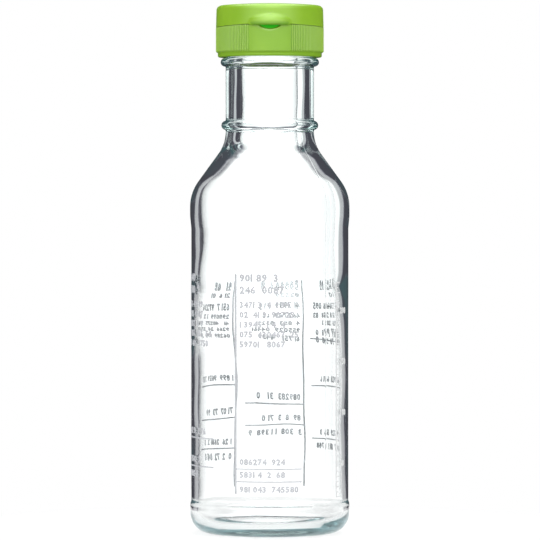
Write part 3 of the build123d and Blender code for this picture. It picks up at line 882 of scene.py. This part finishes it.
def glass_surface(s):
    """Radius and height over angle and profile: the outside, then the inside from the rim down.

    The inside floor is tilted by a cosine of the angle, times the distance from the axis.
    """
    outer_soft, inner_soft, coarse, tilt_angle = 0.45, 0.8, 3.0, 1.0
    outer = thinned(softened(outer_rows(s), outer_soft), outer_soft, coarse)
    inner = thinned(softened(inner_rows(s), inner_soft), inner_soft, coarse)[::-1]
    angles = glass_angles(s)
    radius = np.concatenate([outside_radius(s, angles, outer), inside_radius(s, angles, inner)], 1)
    tilt = s.tilt * np.cos(angles[:, None] + tilt_angle) * inner[:, 0] / s.panel_r
    tilt = tilt * smooth_step(-inner[:, 1], -2 * s.floor_z, -s.floor_z)
    height = np.concatenate([outer[:, 1] + 0 * angles[:, None], inner[:, 1] + tilt], 1)
    return angles, radius, height


class BOTTLE_OT_glass(bpy.types.Operator):
    """Make the glass bottle with its beads, thread, seams and uneven inside wall"""

    bl_idname = "bottle.glass"
    bl_label = "Glass"

    def execute(self, context):
        sizes = in_mm(context.scene.bottle_sizes)
        material = clear_glass("flint_glass", context.scene.bottle_finishes.glass)
        piece = lathe("bottle_glass", *glass_surface(sizes), material)
        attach(piece, "bottle")
        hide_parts("glass_bottle")
        return {"FINISHED"}


# The print

# Each column's angle in degrees, and its fill lines as shares of the column's height
COLUMNS = (
    (-116.0, (0.053, 0.111)),
    (-184.5, (0.113, 0.243)),
    (-242.0, (0.176, 0.317, 0.458)),
    (-299.0, (0.28, 0.375)),
    (-355.0, (0.22, 0.46, 0.68)),
)
TITLE_ROWS = 2
TITLE_FILL = (0.45, 0.75)
BODY_FILL = (0.65, 0.98)
LAST_ROW_DROP = 1.6
MARK_UNIT = 50


def column_lines(p, radius, shares):
    """Corner boxes of one column's upright rule and of its fill lines."""
    low, high = [[0, p.low, 0]], [[p.rule, p.high, p.thick]]
    for share in shares:
        z = p.low + share * (p.high - p.low)
        low.append([p.rule, z, 0])
        high.append([p.span * radius, z + p.line, p.thick])
    return low, high


def plain_numbers(rng, slots):
    """Numbers of one to six digits with a space between them, to fill a row of slots."""
    text = ""
    while len(text) < slots:
        digits = rng.integers(0, 10, rng.integers(1, 7))
        text += "".join(str(digit) for digit in digits) + " "
    return text[:slots]


def column_rows(p, radius, shares, seed):
    """Rows of plain numbers for one column: large digits, then small ones, then one row a line.

    Each row fills a random share of its room, and one more row stands under the lowest line.
    """
    rng = np.random.default_rng(seed)
    left = p.rule + p.margin
    room = p.text_span * radius - left
    rows = []
    for k in range(TITLE_ROWS):
        slots = int(room * rng.uniform(*TITLE_FILL) / (p.title * DIGIT_PITCH_SHARE))
        rows.append((plain_numbers(rng, slots), left, p.high - p.title - k * p.title_row, p.title))
    first = p.high - TITLE_ROWS * p.title_row - p.body_row
    feet = [first - k * p.body_row for k in range(p.body_rows)]
    lines = [p.low + share * (p.high - p.low) for share in shares]
    feet += [z + p.line + p.body / 2 for z in lines] + [lines[0] - LAST_ROW_DROP * p.body]
    for foot in feet:
        slots = int(room * rng.uniform(*BODY_FILL) / (p.body * DIGIT_PITCH_SHARE))
        rows.append((plain_numbers(rng, slots), left, foot, p.body))
    return rows


class BOTTLE_OT_columns(bpy.types.Operator):
    """Make the printed columns: rules, fill lines and rows of plain numbers"""

    bl_idname = "bottle.columns"
    bl_label = "Printed Columns"

    def execute(self, context):
        p = in_mm(context.scene.print_sizes)
        radius = in_mm(context.scene.bottle_sizes).panel_r
        ink = fired_ink("fired_ink", context.scene.bottle_finishes.ink)
        for number, (angle, shares) in enumerate(COLUMNS, start=1):
            place = on_panel(radius, math.radians(angle))
            lines = plates(f"column_{number}", *column_lines(p, radius, shares), place, ink, 12)
            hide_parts(f"print_column_{number}")
            rows = column_rows(p, radius, shares, number)
            digits = number_rows(f"column_{number}_numbers", rows, p.thick, place, ink)
            for piece in (lines, digits):
                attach(piece, "bottle")
        return {"FINISHED"}


class BOTTLE_OT_scale(bpy.types.Operator):
    """Make the measuring scale: an upright rule, ticks and plain numbers"""

    bl_idname = "bottle.scale"
    bl_label = "Measuring Scale"

    def execute(self, context):
        p = in_mm(context.scene.print_sizes)
        ink = bpy.data.materials["fired_ink"]
        ticks = np.arange(p.ticks)
        step = (p.scale_high - p.scale_low - p.line) / (p.ticks - 1)
        z = p.scale_low + ticks * step
        wide = np.where(ticks % 2, p.short_tick, p.long_tick)
        zero = 0 * z
        low = np.concatenate([[[0, p.scale_low, 0]], np.stack([zero + p.rule, z, zero], 1)])
        high = [[p.rule, p.scale_high, p.thick]]
        high = np.concatenate([high, np.stack([wide, z + p.line, zero + p.thick], 1)])
        place = on_panel(in_mm(context.scene.bottle_sizes).panel_r, p.scale_angle)
        lines = plates("scale_ticks", low, high, place, ink, 2)
        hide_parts("print_scale")
        left = p.long_tick + p.line
        marks = enumerate(range(p.first_mark, p.ticks, p.mark_step), start=1)
        rows = [(str(MARK_UNIT * k), left, z[tick], p.body) for k, tick in marks]
        digits = number_rows("scale_numbers", rows, p.thick, place, ink)
        for piece in (lines, digits):
            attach(piece, "bottle")
        return {"FINISHED"}


# The closure and lid

# The scoop and the lip lie where the cosine of the angle from the front is larger than this
FRONT_COS = 0.5

# One rib over even steps of the angle, and the band's rows as shares of its height
RIB_SHAPE = (0.0, 0.0, 0.0, 0.8, 1.0, 0.8)
BAND_SHARES = (
    *(0, 0.012, 0.03, 0.06, 0.15, 0.3, 0.5, 0.68, 0.74, 0.79),
    *(0.83, 0.86, 0.89, 0.92, 0.945, 0.965, 0.98, 0.99, 1.0),
)

# Tones of smooth parts and of painted shade in grooves, and what a painted highlight on crests adds
SMOOTH_TONE = 0.36
GROOVE_SHADE_TONE = 0.26
CREST_HIGHLIGHT_GAIN = 0.74

# The lip's outline at heights above the seam: how far it lies out from the lip's own circle
LIP_RISE = (-0.4, -0.3, 0.0, 0.8, 1.5, 2.1, 2.7, 3.4, 4.55)
LIP_LEVEL = (-0.2, -0.1, 0.0, 0.0, -0.03, -0.13, -0.36, -0.8, -1.7)
# Painted shade low on the lip's face, where it turns down
LIP_SHADE = 0.3

# From the seam up to the middle of the hinge, and how far its fold reaches up and down
HINGE_UP = 0.15


def from_front(angles):
    """Angles measured from the front, -Y, between minus and plus half a turn."""
    return (angles - 1.5 * math.pi + math.pi) % FULL_TURN - math.pi


def seam_height(c, radius, angles):
    """Height of a long round bar's top over x = radius cos a: highest on the middle line."""
    arch = (c.lid_r**2 + c.seam_rise**2) / (2 * c.seam_rise)
    return c.seam_z - arch + np.sqrt(arch**2 - (radius * np.cos(angles)) ** 2)


def cut_flat(c, radius, angles):
    """The radius, held so that y stays in front of the flats that carry the hinge."""
    least = 0.1
    sine = np.sin(angles)[:, None]
    flat = np.where(sine > least, c.flat_y / np.maximum(sine, least), np.inf)
    return np.minimum(radius, flat)


def cut_scoop(c, radius, height, angles):
    """The radius, held outside an ellipse turned about a line along X in front of the band.

    Along a ray from the axis the turned ellipse is a quadratic in r; its smaller root is the cut.
    """
    turn = from_front(angles)[:, None]
    reach = c.band_r - c.scoop_in + c.scoop_r
    across = (c.scoop_r / c.scoop_half * np.sin(turn)) ** 2 + np.cos(turn) ** 2
    rest = reach**2 + (height - c.seam_z - c.scoop_up) ** 2 - c.scoop_r**2
    inside = (reach * np.cos(turn)) ** 2 - across * rest
    face = (reach * np.cos(turn) - np.sqrt(np.maximum(inside, 0))) / across
    hit = (inside > 0) & (np.cos(turn) > FRONT_COS)
    soft = 0.06
    return np.where(hit, -larger(-radius, -face, soft), radius)


def rib_profile(c):
    """Angles over every rib all round, how far each stands out from 0 to 1, and which are plain."""
    angles = np.linspace(0, FULL_TURN, len(RIB_SHAPE) * c.ribs, endpoint=False)
    across = np.abs(c.band_r * np.sin(from_front(angles)))
    plain = (across < c.panel_half) & (np.sin(angles) < 0)
    return angles, np.where(plain, 0.0, np.tile(RIB_SHAPE, c.ribs)), plain


def closure_outside(c, angles, tooth):
    """The foot, the ribbed band and the seam's edge: radius and height over angle and profile.

    Ribs rise over the first share of the band and drop a little over its last share.
    """
    rise, fall_from, fall, drop = 0.03, 0.98, 0.02, 0.35
    top_in, step_in, collar_gap = 0.1, 0.3, 0.2
    corner = c.foot_round
    foot = run(
        (c.bore, c.foot_z),
        (c.foot_r - corner, c.foot_z),
        (c.foot_r, c.foot_z + corner),
        (c.foot_r, c.band_z - corner / 2),
    )
    foot = thinned(softened(foot, 0.25), 0.15, 1.4)
    share = np.array(BAND_SHARES)
    seam = seam_height(c, c.band_r, angles)[:, None]
    ribbed = np.clip(share / rise, 0, 1) * (1 - drop * np.clip((share - fall_from) / fall, 0, 1))
    band = c.band_r + c.rib_out * tooth[:, None] * ribbed - top_in * (share == 1)
    top_r = np.array([c.band_r - step_in, c.collar_r + collar_gap, c.collar_r])
    top_z = np.stack([seam_height(c, r, angles) for r in top_r], 1)
    one = np.ones((len(angles), 1))
    radius = np.concatenate([one * foot[:, 0], band, one * top_r], 1)
    height = np.concatenate([one * foot[:, 1], c.band_z + share * (seam - c.band_z), top_z], 1)
    cut = cut_scoop(c, radius, height, angles)
    return np.maximum(cut, np.minimum(radius, c.collar_r)), height, len(foot), len(share)


def closure_inside(c, b, angles):
    """The collar, the deck and the bore with its thread: radius and height over angle and profile.

    The thread runs half a pitch beside the glass thread.
    """
    edge, bore_rows = 0.2, 22
    corners = np.array(
        [
            (c.collar_r, c.collar_z - edge),
            (c.collar_r - edge, c.collar_z),
            (c.bore + edge, c.collar_z),
            (c.bore, c.collar_z - edge),
            (c.bore, c.deck_top),
            (2 * c.seat_r, c.deck_top),
            (c.seat_r, c.deck_top),
            (c.seat_r, c.deck_low),
            (2 * c.seat_r, c.deck_low),
            (c.bore, c.deck_low),
        ]
    )
    z = np.linspace(c.deck_low - edge, c.foot_z + edge, bore_rows)
    glass_start = b.rim_z - b.thread_down - b.pitch * b.thread_turns
    start_z = c.foot_z + c.thread_up
    lead = FULL_TURN * ((start_z - glass_start) / b.pitch + 0.5)
    section = (c.thread_root, c.thread_crest, b.thread_out)
    ridge = thread_height(angles - lead, z, start_z, b.pitch, c.thread_turns, *section)
    one = np.ones((len(angles), 1))
    radius = np.concatenate([one * corners[:, 0], c.bore - ridge], 1)
    return radius, one * np.concatenate([corners[:, 1], z])


def closure_surface(c, b):
    """The closure, closed round; its tone is 1 on crests for a painted highlight, less in grooves
    and scoop for painted shade.
    """
    angles, tooth, plain = rib_profile(c)
    out_r, out_z, foot_rows, band_rows = closure_outside(c, angles, tooth)
    in_r, in_z = closure_inside(c, b, angles)
    tone = np.full((len(angles), out_r.shape[1] + in_r.shape[1]), SMOOTH_TONE)
    # Painted highlight on the crests and painted shade in the grooves
    ribs = np.where(plain, SMOOTH_TONE, GROOVE_SHADE_TONE + CREST_HIGHLIGHT_GAIN * tooth**6)[:, None]
    tone[:, foot_rows : foot_rows + band_rows] = ribs
    depth = c.band_r - out_r[:, foot_rows:]
    # Painted shade in the scoop, darker where it is cut deeper
    tone[:, foot_rows : out_r.shape[1]] -= smooth_step(depth, 0.02, 0.7) * plain[:, None]
    radius = cut_flat(c, np.concatenate([out_r, in_r], 1), angles)
    return angles, radius, np.concatenate([out_z, in_z], 1), tone


def lip_plan(c, angles, level):
    """The lip's outline seen from above: distances from the axis to a circle nearer the front."""
    side = math.sqrt(c.lid_r**2 - c.lip_half**2)
    out = c.lid_r + c.lip_out - side
    big = (c.lip_half**2 + out**2) / (2 * out)
    axis = c.lid_r + c.lip_out - big
    turn = from_front(angles)[:, None]
    inside = (big + level) ** 2 - (axis * np.sin(turn)) ** 2
    reach = axis * np.cos(turn) + np.sqrt(np.maximum(inside, 0))
    return np.where((inside > 0) & (np.cos(turn) > FRONT_COS), reach, 0)


def lid_outside(c, angles, hang):
    """The roof and the wall with the thumb lip: radius and height over angle and profile."""
    wall_rows, lip_over, lip_soft = 25, 0.5, 0.09
    top_r = c.lid_r - c.lid_draft
    edge = c.crest_z - c.crown
    corner = (top_r - c.lid_round, edge - c.lid_round)
    roof = np.concatenate([dome(corner[0], edge, c.crown)[::-1], bend(corner, c.lid_round, 90, 0)])
    roof = thinned(softened(roof, 0.4), 0.3, 1.6)
    seam = seam_height(c, c.lid_r, angles)[:, None] + c.seam_gap
    share = np.linspace(0, 1, wall_rows + 1)[1:]
    wall_z = roof[-1, 1] + share * (seam - hang - roof[-1, 1])
    one = np.ones((len(angles), 1))
    radius = np.concatenate([one * roof[:, 0], one * (top_r + c.lid_draft * share)], 1)
    height = np.concatenate([one * roof[:, 1], wall_z], 1)
    rise = height - c.seam_z
    lip = lip_plan(c, angles, np.interp(rise, LIP_RISE, LIP_LEVEL))
    near = rise < LIP_RISE[-1] + lip_over
    return np.where(near, larger(radius, lip, lip_soft), radius), height


def lid_inside(c, angles, hang):
    """The lower edge, the bore and the ceiling with the plug's ring: radius and height."""
    edge, chamfer, corner, bore_low = 0.1, 0.2, 0.8, 3
    edge_r = np.array([c.lid_r, c.lid_r - edge, c.lid_bore + chamfer, c.lid_bore])
    edge_z = np.stack([seam_height(c, r, angles) + c.seam_gap for r in edge_r], 1)
    edge_z[:, :1] -= hang
    edge_z[:, -1] += chamfer
    ring, ring_z = c.ring_r + c.ring_w, c.lid_roof - c.ring_h
    corners = np.array(
        [
            (c.lid_bore, c.seam_z + bore_low),
            (c.lid_bore, c.lid_roof - corner),
            (c.lid_bore - corner, c.lid_roof),
            (ring, c.lid_roof),
            (ring, ring_z),
            (c.ring_r, ring_z),
            (c.ring_r, c.lid_roof),
            (0, c.lid_roof),
        ]
    )
    one = np.ones((len(angles), 1))
    radius = one * np.concatenate([edge_r, corners[:, 0]])
    return radius, np.concatenate([edge_z, one * corners[:, 1]], 1)


def lid_surface(c, cells=720):
    """The lid over angle and profile: over the roof, down the wall and up inside.

    Gives the angles, the radius, the height and the tone, darker low on the lip's face for painted
    shade where it turns down.
    """
    angles = np.linspace(0, FULL_TURN, cells, endpoint=False)
    hang = c.lip_hang * smooth_step(lip_plan(c, angles, 0) - c.lid_r, 0, 0.35)
    out_r, out_z = lid_outside(c, angles, hang)
    in_r, in_z = lid_inside(c, angles, hang)
    # Painted shade low on the lip's face
    face = smooth_step(out_r - c.lid_r, 0.05, 0.45) * smooth_step(c.seam_z - out_z, -1.9, -0.2)
    tone = np.concatenate([PLAIN_TONE - LIP_SHADE * face, np.full(in_r.shape, PLAIN_TONE)], 1)
    radius = cut_flat(c, np.concatenate([out_r, in_r], 1), angles)
    return angles, radius, np.concatenate([out_z, in_z], 1), tone


class BOTTLE_OT_closure(bpy.types.Operator):
    """Make the screw closure with its ribs, scoop, collar and inner thread"""

    bl_idname = "bottle.closure"
    bl_label = "Closure"

    def execute(self, context):
        finish = context.scene.bottle_finishes
        relief = {"grain": 1400.0, "depth": 0.00004}
        # Painted shade in grooves and scoop, painted highlight on crests
        tones = (finish.groove, finish.crest, finish.hollow)
        green = moulded("lime_moulding", finish.green, finish.pale_green, 0.33, relief, tones)
        closure, bottle = in_mm(context.scene.closure_sizes), in_mm(context.scene.bottle_sizes)
        angles, radius, height, tone = closure_surface(closure, bottle)
        piece = lathe("screw_closure", angles, radius, height, green, True, tone)
        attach(piece, "closure")
        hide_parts("closure_shell")
        return {"FINISHED"}


class BOTTLE_OT_lid(bpy.types.Operator):
    """Make the flip lid with its crowned roof and thumb lip"""

    bl_idname = "bottle.lid"
    bl_label = "Flip Lid"

    def execute(self, context):
        green = bpy.data.materials["lime_moulding"]
        angles, radius, height, tone = lid_surface(in_mm(context.scene.closure_sizes))
        piece = lathe("crowned_lid", angles, radius, height, green, tone=tone)
        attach(piece, "lid")
        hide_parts("flip_lid")
        return {"FINISHED"}


def hinge_strip(name, from_x, to_x, c, material):
    """An upright strip that is drawn in at the fold: a four-cornered section carried up z."""
    z = np.linspace(-c.strip_half, c.strip_half, 31)
    fold = c.fold_in * bump_at(z, 0, c.fold_half)
    xs = np.array([from_x, to_x, to_x, from_x])[:, None]
    outer = np.array([0, 0, 1, 1])[:, None]
    y = c.flat_y + outer * c.strip_t + np.where(outer, -fold, fold)
    points = np.stack(np.broadcast_arrays(xs, y, c.seam_z + HINGE_UP + z), 2)
    index = np.arange(points.shape[0] * points.shape[1]).reshape(4, -1)
    caps = np.array([index[:, 0], index[::-1, -1]])
    faces = np.concatenate([wrap_faces(index), caps])
    tone = np.full(index.size, PLAIN_TONE)
    return make_piece(name, points.reshape(-1, 3), faces, material, False, tone)


class BOTTLE_OT_hinge(bpy.types.Operator):
    """Make the moulded hinge: a middle web and two snap straps"""

    bl_idname = "bottle.hinge"
    bl_label = "Moulded Hinge"

    def execute(self, context):
        c = in_mm(context.scene.closure_sizes)
        green = bpy.data.materials["lime_moulding"]
        for name, node, low, high in (
            ("fold_web", "hinge_web", -c.web_half, c.web_half),
            ("left_strap", "snap_strap_left", -c.strap_out, -c.strap_in),
            ("right_strap", "snap_strap_right", c.strap_in, c.strap_out),
        ):
            piece = hinge_strip(name, low, high, c, green)
            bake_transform(piece)
            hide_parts(node)
        return {"FINISHED"}


# The parts inside the closure


def liner_corners(f, c, b):
    """The washer between the rim and the deck."""
    low, high = (f.liner_bore, b.rim_z), (f.liner_r, c.deck_low)
    return [low, (high[0], low[1]), high, (low[0], high[1]), low]


def spout_corners(f, c, b):
    """The spout's section: barrel with its snap bead, flange, tube and rolled lip."""
    mouth = (f.tube_r + f.roll_out - f.spout_bore) / 2
    roll_z = f.spout_top - f.roll_half
    return [
        (f.spout_bore, f.spout_top - mouth),
        (f.spout_bore, f.spout_low),
        (f.barrel_r, f.spout_low),
        (f.barrel_r, c.deck_low - f.snap_h),
        (f.barrel_r + f.snap_out, c.deck_low),
        (f.barrel_r, c.deck_low),
        (f.barrel_r, c.deck_top),
        (f.flange_r, c.deck_top),
        (f.flange_r, c.deck_top + f.flange_t),
        (f.tube_r, c.deck_top + f.flange_t),
        (f.tube_r, roll_z - f.roll_half),
        (f.tube_r + f.roll_out, roll_z),
        (f.tube_r, f.spout_top),
        (f.spout_bore + mouth, f.spout_top),
        (f.spout_bore, f.spout_top - mouth),
    ]


def plug_corners(f, c, b):
    """The plug's section, from the middle of its flange round to the middle of its hollow."""
    flange_low = c.lid_roof - f.flange_t
    hollow = f.plug_r - f.plug_wall
    return [
        (0, c.lid_roof),
        (f.plug_flange_r, c.lid_roof),
        (f.plug_flange_r, flange_low),
        (f.plug_r, flange_low),
        (f.plug_r, f.plug_low + f.taper_h),
        (f.plug_r - f.taper_in, f.plug_low),
        (hollow, f.plug_low),
        (hollow, flange_low),
        (0, flange_low),
    ]


class BOTTLE_OT_fittings(bpy.types.Operator):
    """Make the parts inside the closure: liner, pour spout and lid plug"""

    bl_idname = "bottle.fittings"
    bl_label = "Inner Fittings"

    def execute(self, context):
        finish = context.scene.bottle_finishes
        smooth = {"grain": 1400.0, "depth": 0.00003}
        cells = {"grain": 2600.0, "depth": 0.0001}
        white = moulded("natural_moulding", finish.white, finish.white, 0.4, smooth)
        foam = moulded("liner_foam", finish.foam, finish.white, 0.75, cells)
        scene = context.scene
        groups = (scene.fitting_sizes, scene.closure_sizes, scene.bottle_sizes)
        sizes = [in_mm(group) for group in groups]
        soft, fine, coarse_gap = 0.16, 0.12, 1.5
        angles = np.linspace(0, FULL_TURN, 144, endpoint=False)
        for name, corners, material, body, node, slot in (
            ("liner_washer", liner_corners, foam, "liner", "rim_gasket", "gasket_foam"),
            ("rolled_spout", spout_corners, white, "closure", "pour_spout", "white_plastic"),
            ("sealing_plug", plug_corners, white, "lid", "lid_plug", "white_plastic"),
        ):
            outline = corners(*sizes)
            closed = outline[0] == outline[-1]
            rows = thinned(softened(run(*outline), soft), fine, coarse_gap)
            rows = rows[:-1] if closed else rows
            piece = lathe(name, angles, rows[:, 0], rows[:, 1], material, closed)
            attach(piece, body)
            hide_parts(node)
        return {"FINISHED"}


# The stage

PALE_FLOOR = (0.9, 0.9, 0.9)
FLOOR_TOP = -0.02
FLOOR_LOW = -2.0

KEY_PLACE = (0.0, -1.1, 1.2)
KEY_TARGET = (0.0, 0.0, 0.2)
KEY_SIZE = (0.5, 0.35)
KEY_POWER = 1.6

CAMERA_X = 0.00008


def flag_light(x, y, z):
    """What the glass wall throws back: flags round the bottle, dark but for one pale strip a side.

    So each edge of the bottle shows dark, pale and dark again. Side is the sine of the angle from
    the front. Past the right flag's strip, and steeply above and below, it's pale.
    """
    dark, strip_gain, past_gain, steep_light = 0.045, 0.55, 1.2, 0.9
    side = x / ((x * x + y * y) ** 0.5 + 0.0001)
    aside = abs(side)
    strip = aside.ramp(0.37, 0.47) * aside.ramp(0.67, 0.6)
    past = side.ramp(0.6, 0.68) * side.ramp(0.93, 0.9)
    flags = dark + strip * strip_gain + past * past_gain
    steep = z.ramp(0.55, 0.8).most(z.ramp(-0.15, -0.4))
    return flags * (1.0 - steep) + steep * steep_light


def studio_world():
    """White to the camera, brighter from above, with sheen from overhead and high in front.

    What is seen straight through the glass is white, and dark above, which draws the beads' edges.
    What the glass throws back comes from the flags.
    """
    world = bpy.data.worlds.new("studio")
    bpy.context.scene.world = world
    shader = Shader(world)
    kinds = ("Is Camera Ray", "Is Diffuse Ray", "Is Glossy Ray", "Is Transmission Ray")
    camera, diffuse, glossy, through, thrown = shader.ray(*kinds, "Glossy Depth")
    x, y, z = shader.split(shader.add("ShaderNodeTexCoord", output="Generated"))
    bounced = thrown.least(1.0)
    straight = 1.28 - z.ramp(0.2, 0.4) * 1.1
    field = flag_light(x, y, z) * bounced + (1.0 - bounced) * straight
    ambient = z.ramp(-0.9, 0.9, 0.85, 1.45)
    front = y.ramp(-0.25, -1.0) * z.ramp(-0.06, 0.25)
    sheen = 0.04 + front * 5.8 + z.ramp(0.62, 0.95) * 6.0
    strength = camera + diffuse * ambient + glossy * sheen + through * field
    tint = shader.blend(strength.ramp(0.1, 0.8), opaque((0.86, 0.82, 1.0)), opaque(WHITE))
    shader.finish(Surface=shader.add("ShaderNodeBackground", None, [tint, strength]))


def floor_material(radius):
    """A pale floor that shows part of the shadow on it and fades to plain white at its edge."""
    inner, outer, shadow_hidden = 0.45, 0.95, 0.55
    material, shader = material_shader("pale_floor", PALE_FLOOR)
    x, y = shader.split(shader.place())[:2]
    fade = ((x * x + y * y) ** 0.5).ramp(radius * inner, radius * outer)
    inputs = {
        "Base Color": opaque(PALE_FLOOR),
        "Roughness": shader.noise(shader.place(), 160.0).ramp(0.2, 0.8, 0.75, 0.85),
        "Specular IOR Level": 0.1,
    }
    matt = shader.add("ShaderNodeBsdfPrincipled", None, inputs)
    glow = shader.add("ShaderNodeEmission", None, [opaque(WHITE), 1.0])
    camera, glossy, through = shader.ray("Is Camera Ray", "Is Glossy Ray", "Is Transmission Ray")
    share = camera.most(glossy) * (fade + (1.0 - fade) * shadow_hidden) + through
    shader.finish(Surface=shader.add("ShaderNodeMixShader", None, [share, matt, glow]))
    return material


def lamp(name, place, target, size, power):
    """An area lamp that looks at a point."""
    light = bpy.data.lights.new(name, "AREA")
    light.shape = "RECTANGLE"
    light.size, light.size_y = size
    light.energy = power
    piece = bpy.data.objects.new(name, light)
    way = np.array(target) - np.array(place)
    rise = math.atan2(way[2], math.hypot(way[0], way[1]))
    piece.location = place
    piece.rotation_euler = (math.pi / 2 + rise, 0.0, math.atan2(way[1], way[0]) - math.pi / 2)
    bpy.context.scene.collection.objects.link(piece)


class BOTTLE_OT_stage(bpy.types.Operator):
    """Make the floor, the lamps, the studio world and the camera"""

    bl_idname = "bottle.stage"
    bl_label = "Stage"

    def execute(self, context):
        stage = context.scene.bottle_stage
        angles = np.linspace(0, FULL_TURN, 96, endpoint=False)
        radius = stage.floor / TO_M
        out, up = np.array([0, radius, radius, 0]), [FLOOR_TOP, FLOOR_TOP, FLOOR_LOW, FLOOR_LOW]
        floor = lathe("floor", angles, out, up, floor_material(stage.floor))
        floor.data.polygons.foreach_set("use_smooth", np.zeros(len(floor.data.polygons), bool))
        studio_world()
        lamp("key_lamp", KEY_PLACE, KEY_TARGET, KEY_SIZE, KEY_POWER)
        camera = bpy.data.cameras.new("camera")
        camera.sensor_width = 36.0
        camera.lens = stage.lens
        camera.clip_end = 20.0
        holder = bpy.data.objects.new("camera", camera)
        holder.location = (CAMERA_X, -stage.distance, stage.eye)
        drop = math.atan2(stage.eye - stage.aim, stage.distance)
        holder.rotation_euler = (math.pi / 2 - drop, 0.0, 0.0)
        context.scene.collection.objects.link(holder)
        context.scene.camera = holder
        context.scene.view_settings.view_transform = "Standard"
        return {"FINISHED"}


OPERATORS = (
    BOTTLE_OT_glass,
    BOTTLE_OT_columns,
    BOTTLE_OT_scale,
    BOTTLE_OT_closure,
    BOTTLE_OT_lid,
    BOTTLE_OT_hinge,
    BOTTLE_OT_fittings,
    BOTTLE_OT_stage,
)


class BOTTLE_PT_panel(bpy.types.Panel):
    """Sizes, colours and makers of the bottle"""

    bl_idname = "BOTTLE_PT_panel"
    bl_label = "Shaker Bottle"
    bl_space_type = "VIEW_3D"
    bl_region_type = "UI"
    bl_category = "Bottle"

    def draw(self, context):
        for group in GROUPS:
            box = self.layout.box()
            settings = getattr(context.scene, group)
            for key in settings.bl_rna.properties.keys():
                if key not in ("rna_type", "name"):
                    box.prop(settings, key)
        for operator in OPERATORS:
            self.layout.operator(operator.bl_idname)


def register():
    """Registers the classes and hangs each group of settings on the scene."""
    for group in (*GROUPS.values(), *OPERATORS, BOTTLE_PT_panel):
        bpy.utils.register_class(group)
    for key, group in GROUPS.items():
        setattr(bpy.types.Scene, key, bpy.props.PointerProperty(type=group))


def unregister():
    """Undoes register."""
    for key in GROUPS:
        delattr(bpy.types.Scene, key)
    for group in (BOTTLE_PT_panel, *reversed(OPERATORS), *reversed(GROUPS.values())):
        bpy.utils.unregister_class(group)


def main():
    """Makes every piece and the stage."""
    register()
    for operator in OPERATORS:
        area, name = operator.bl_idname.split(".")
        getattr(getattr(bpy.ops, area), name)()


if __name__ == "__main__":
    main()
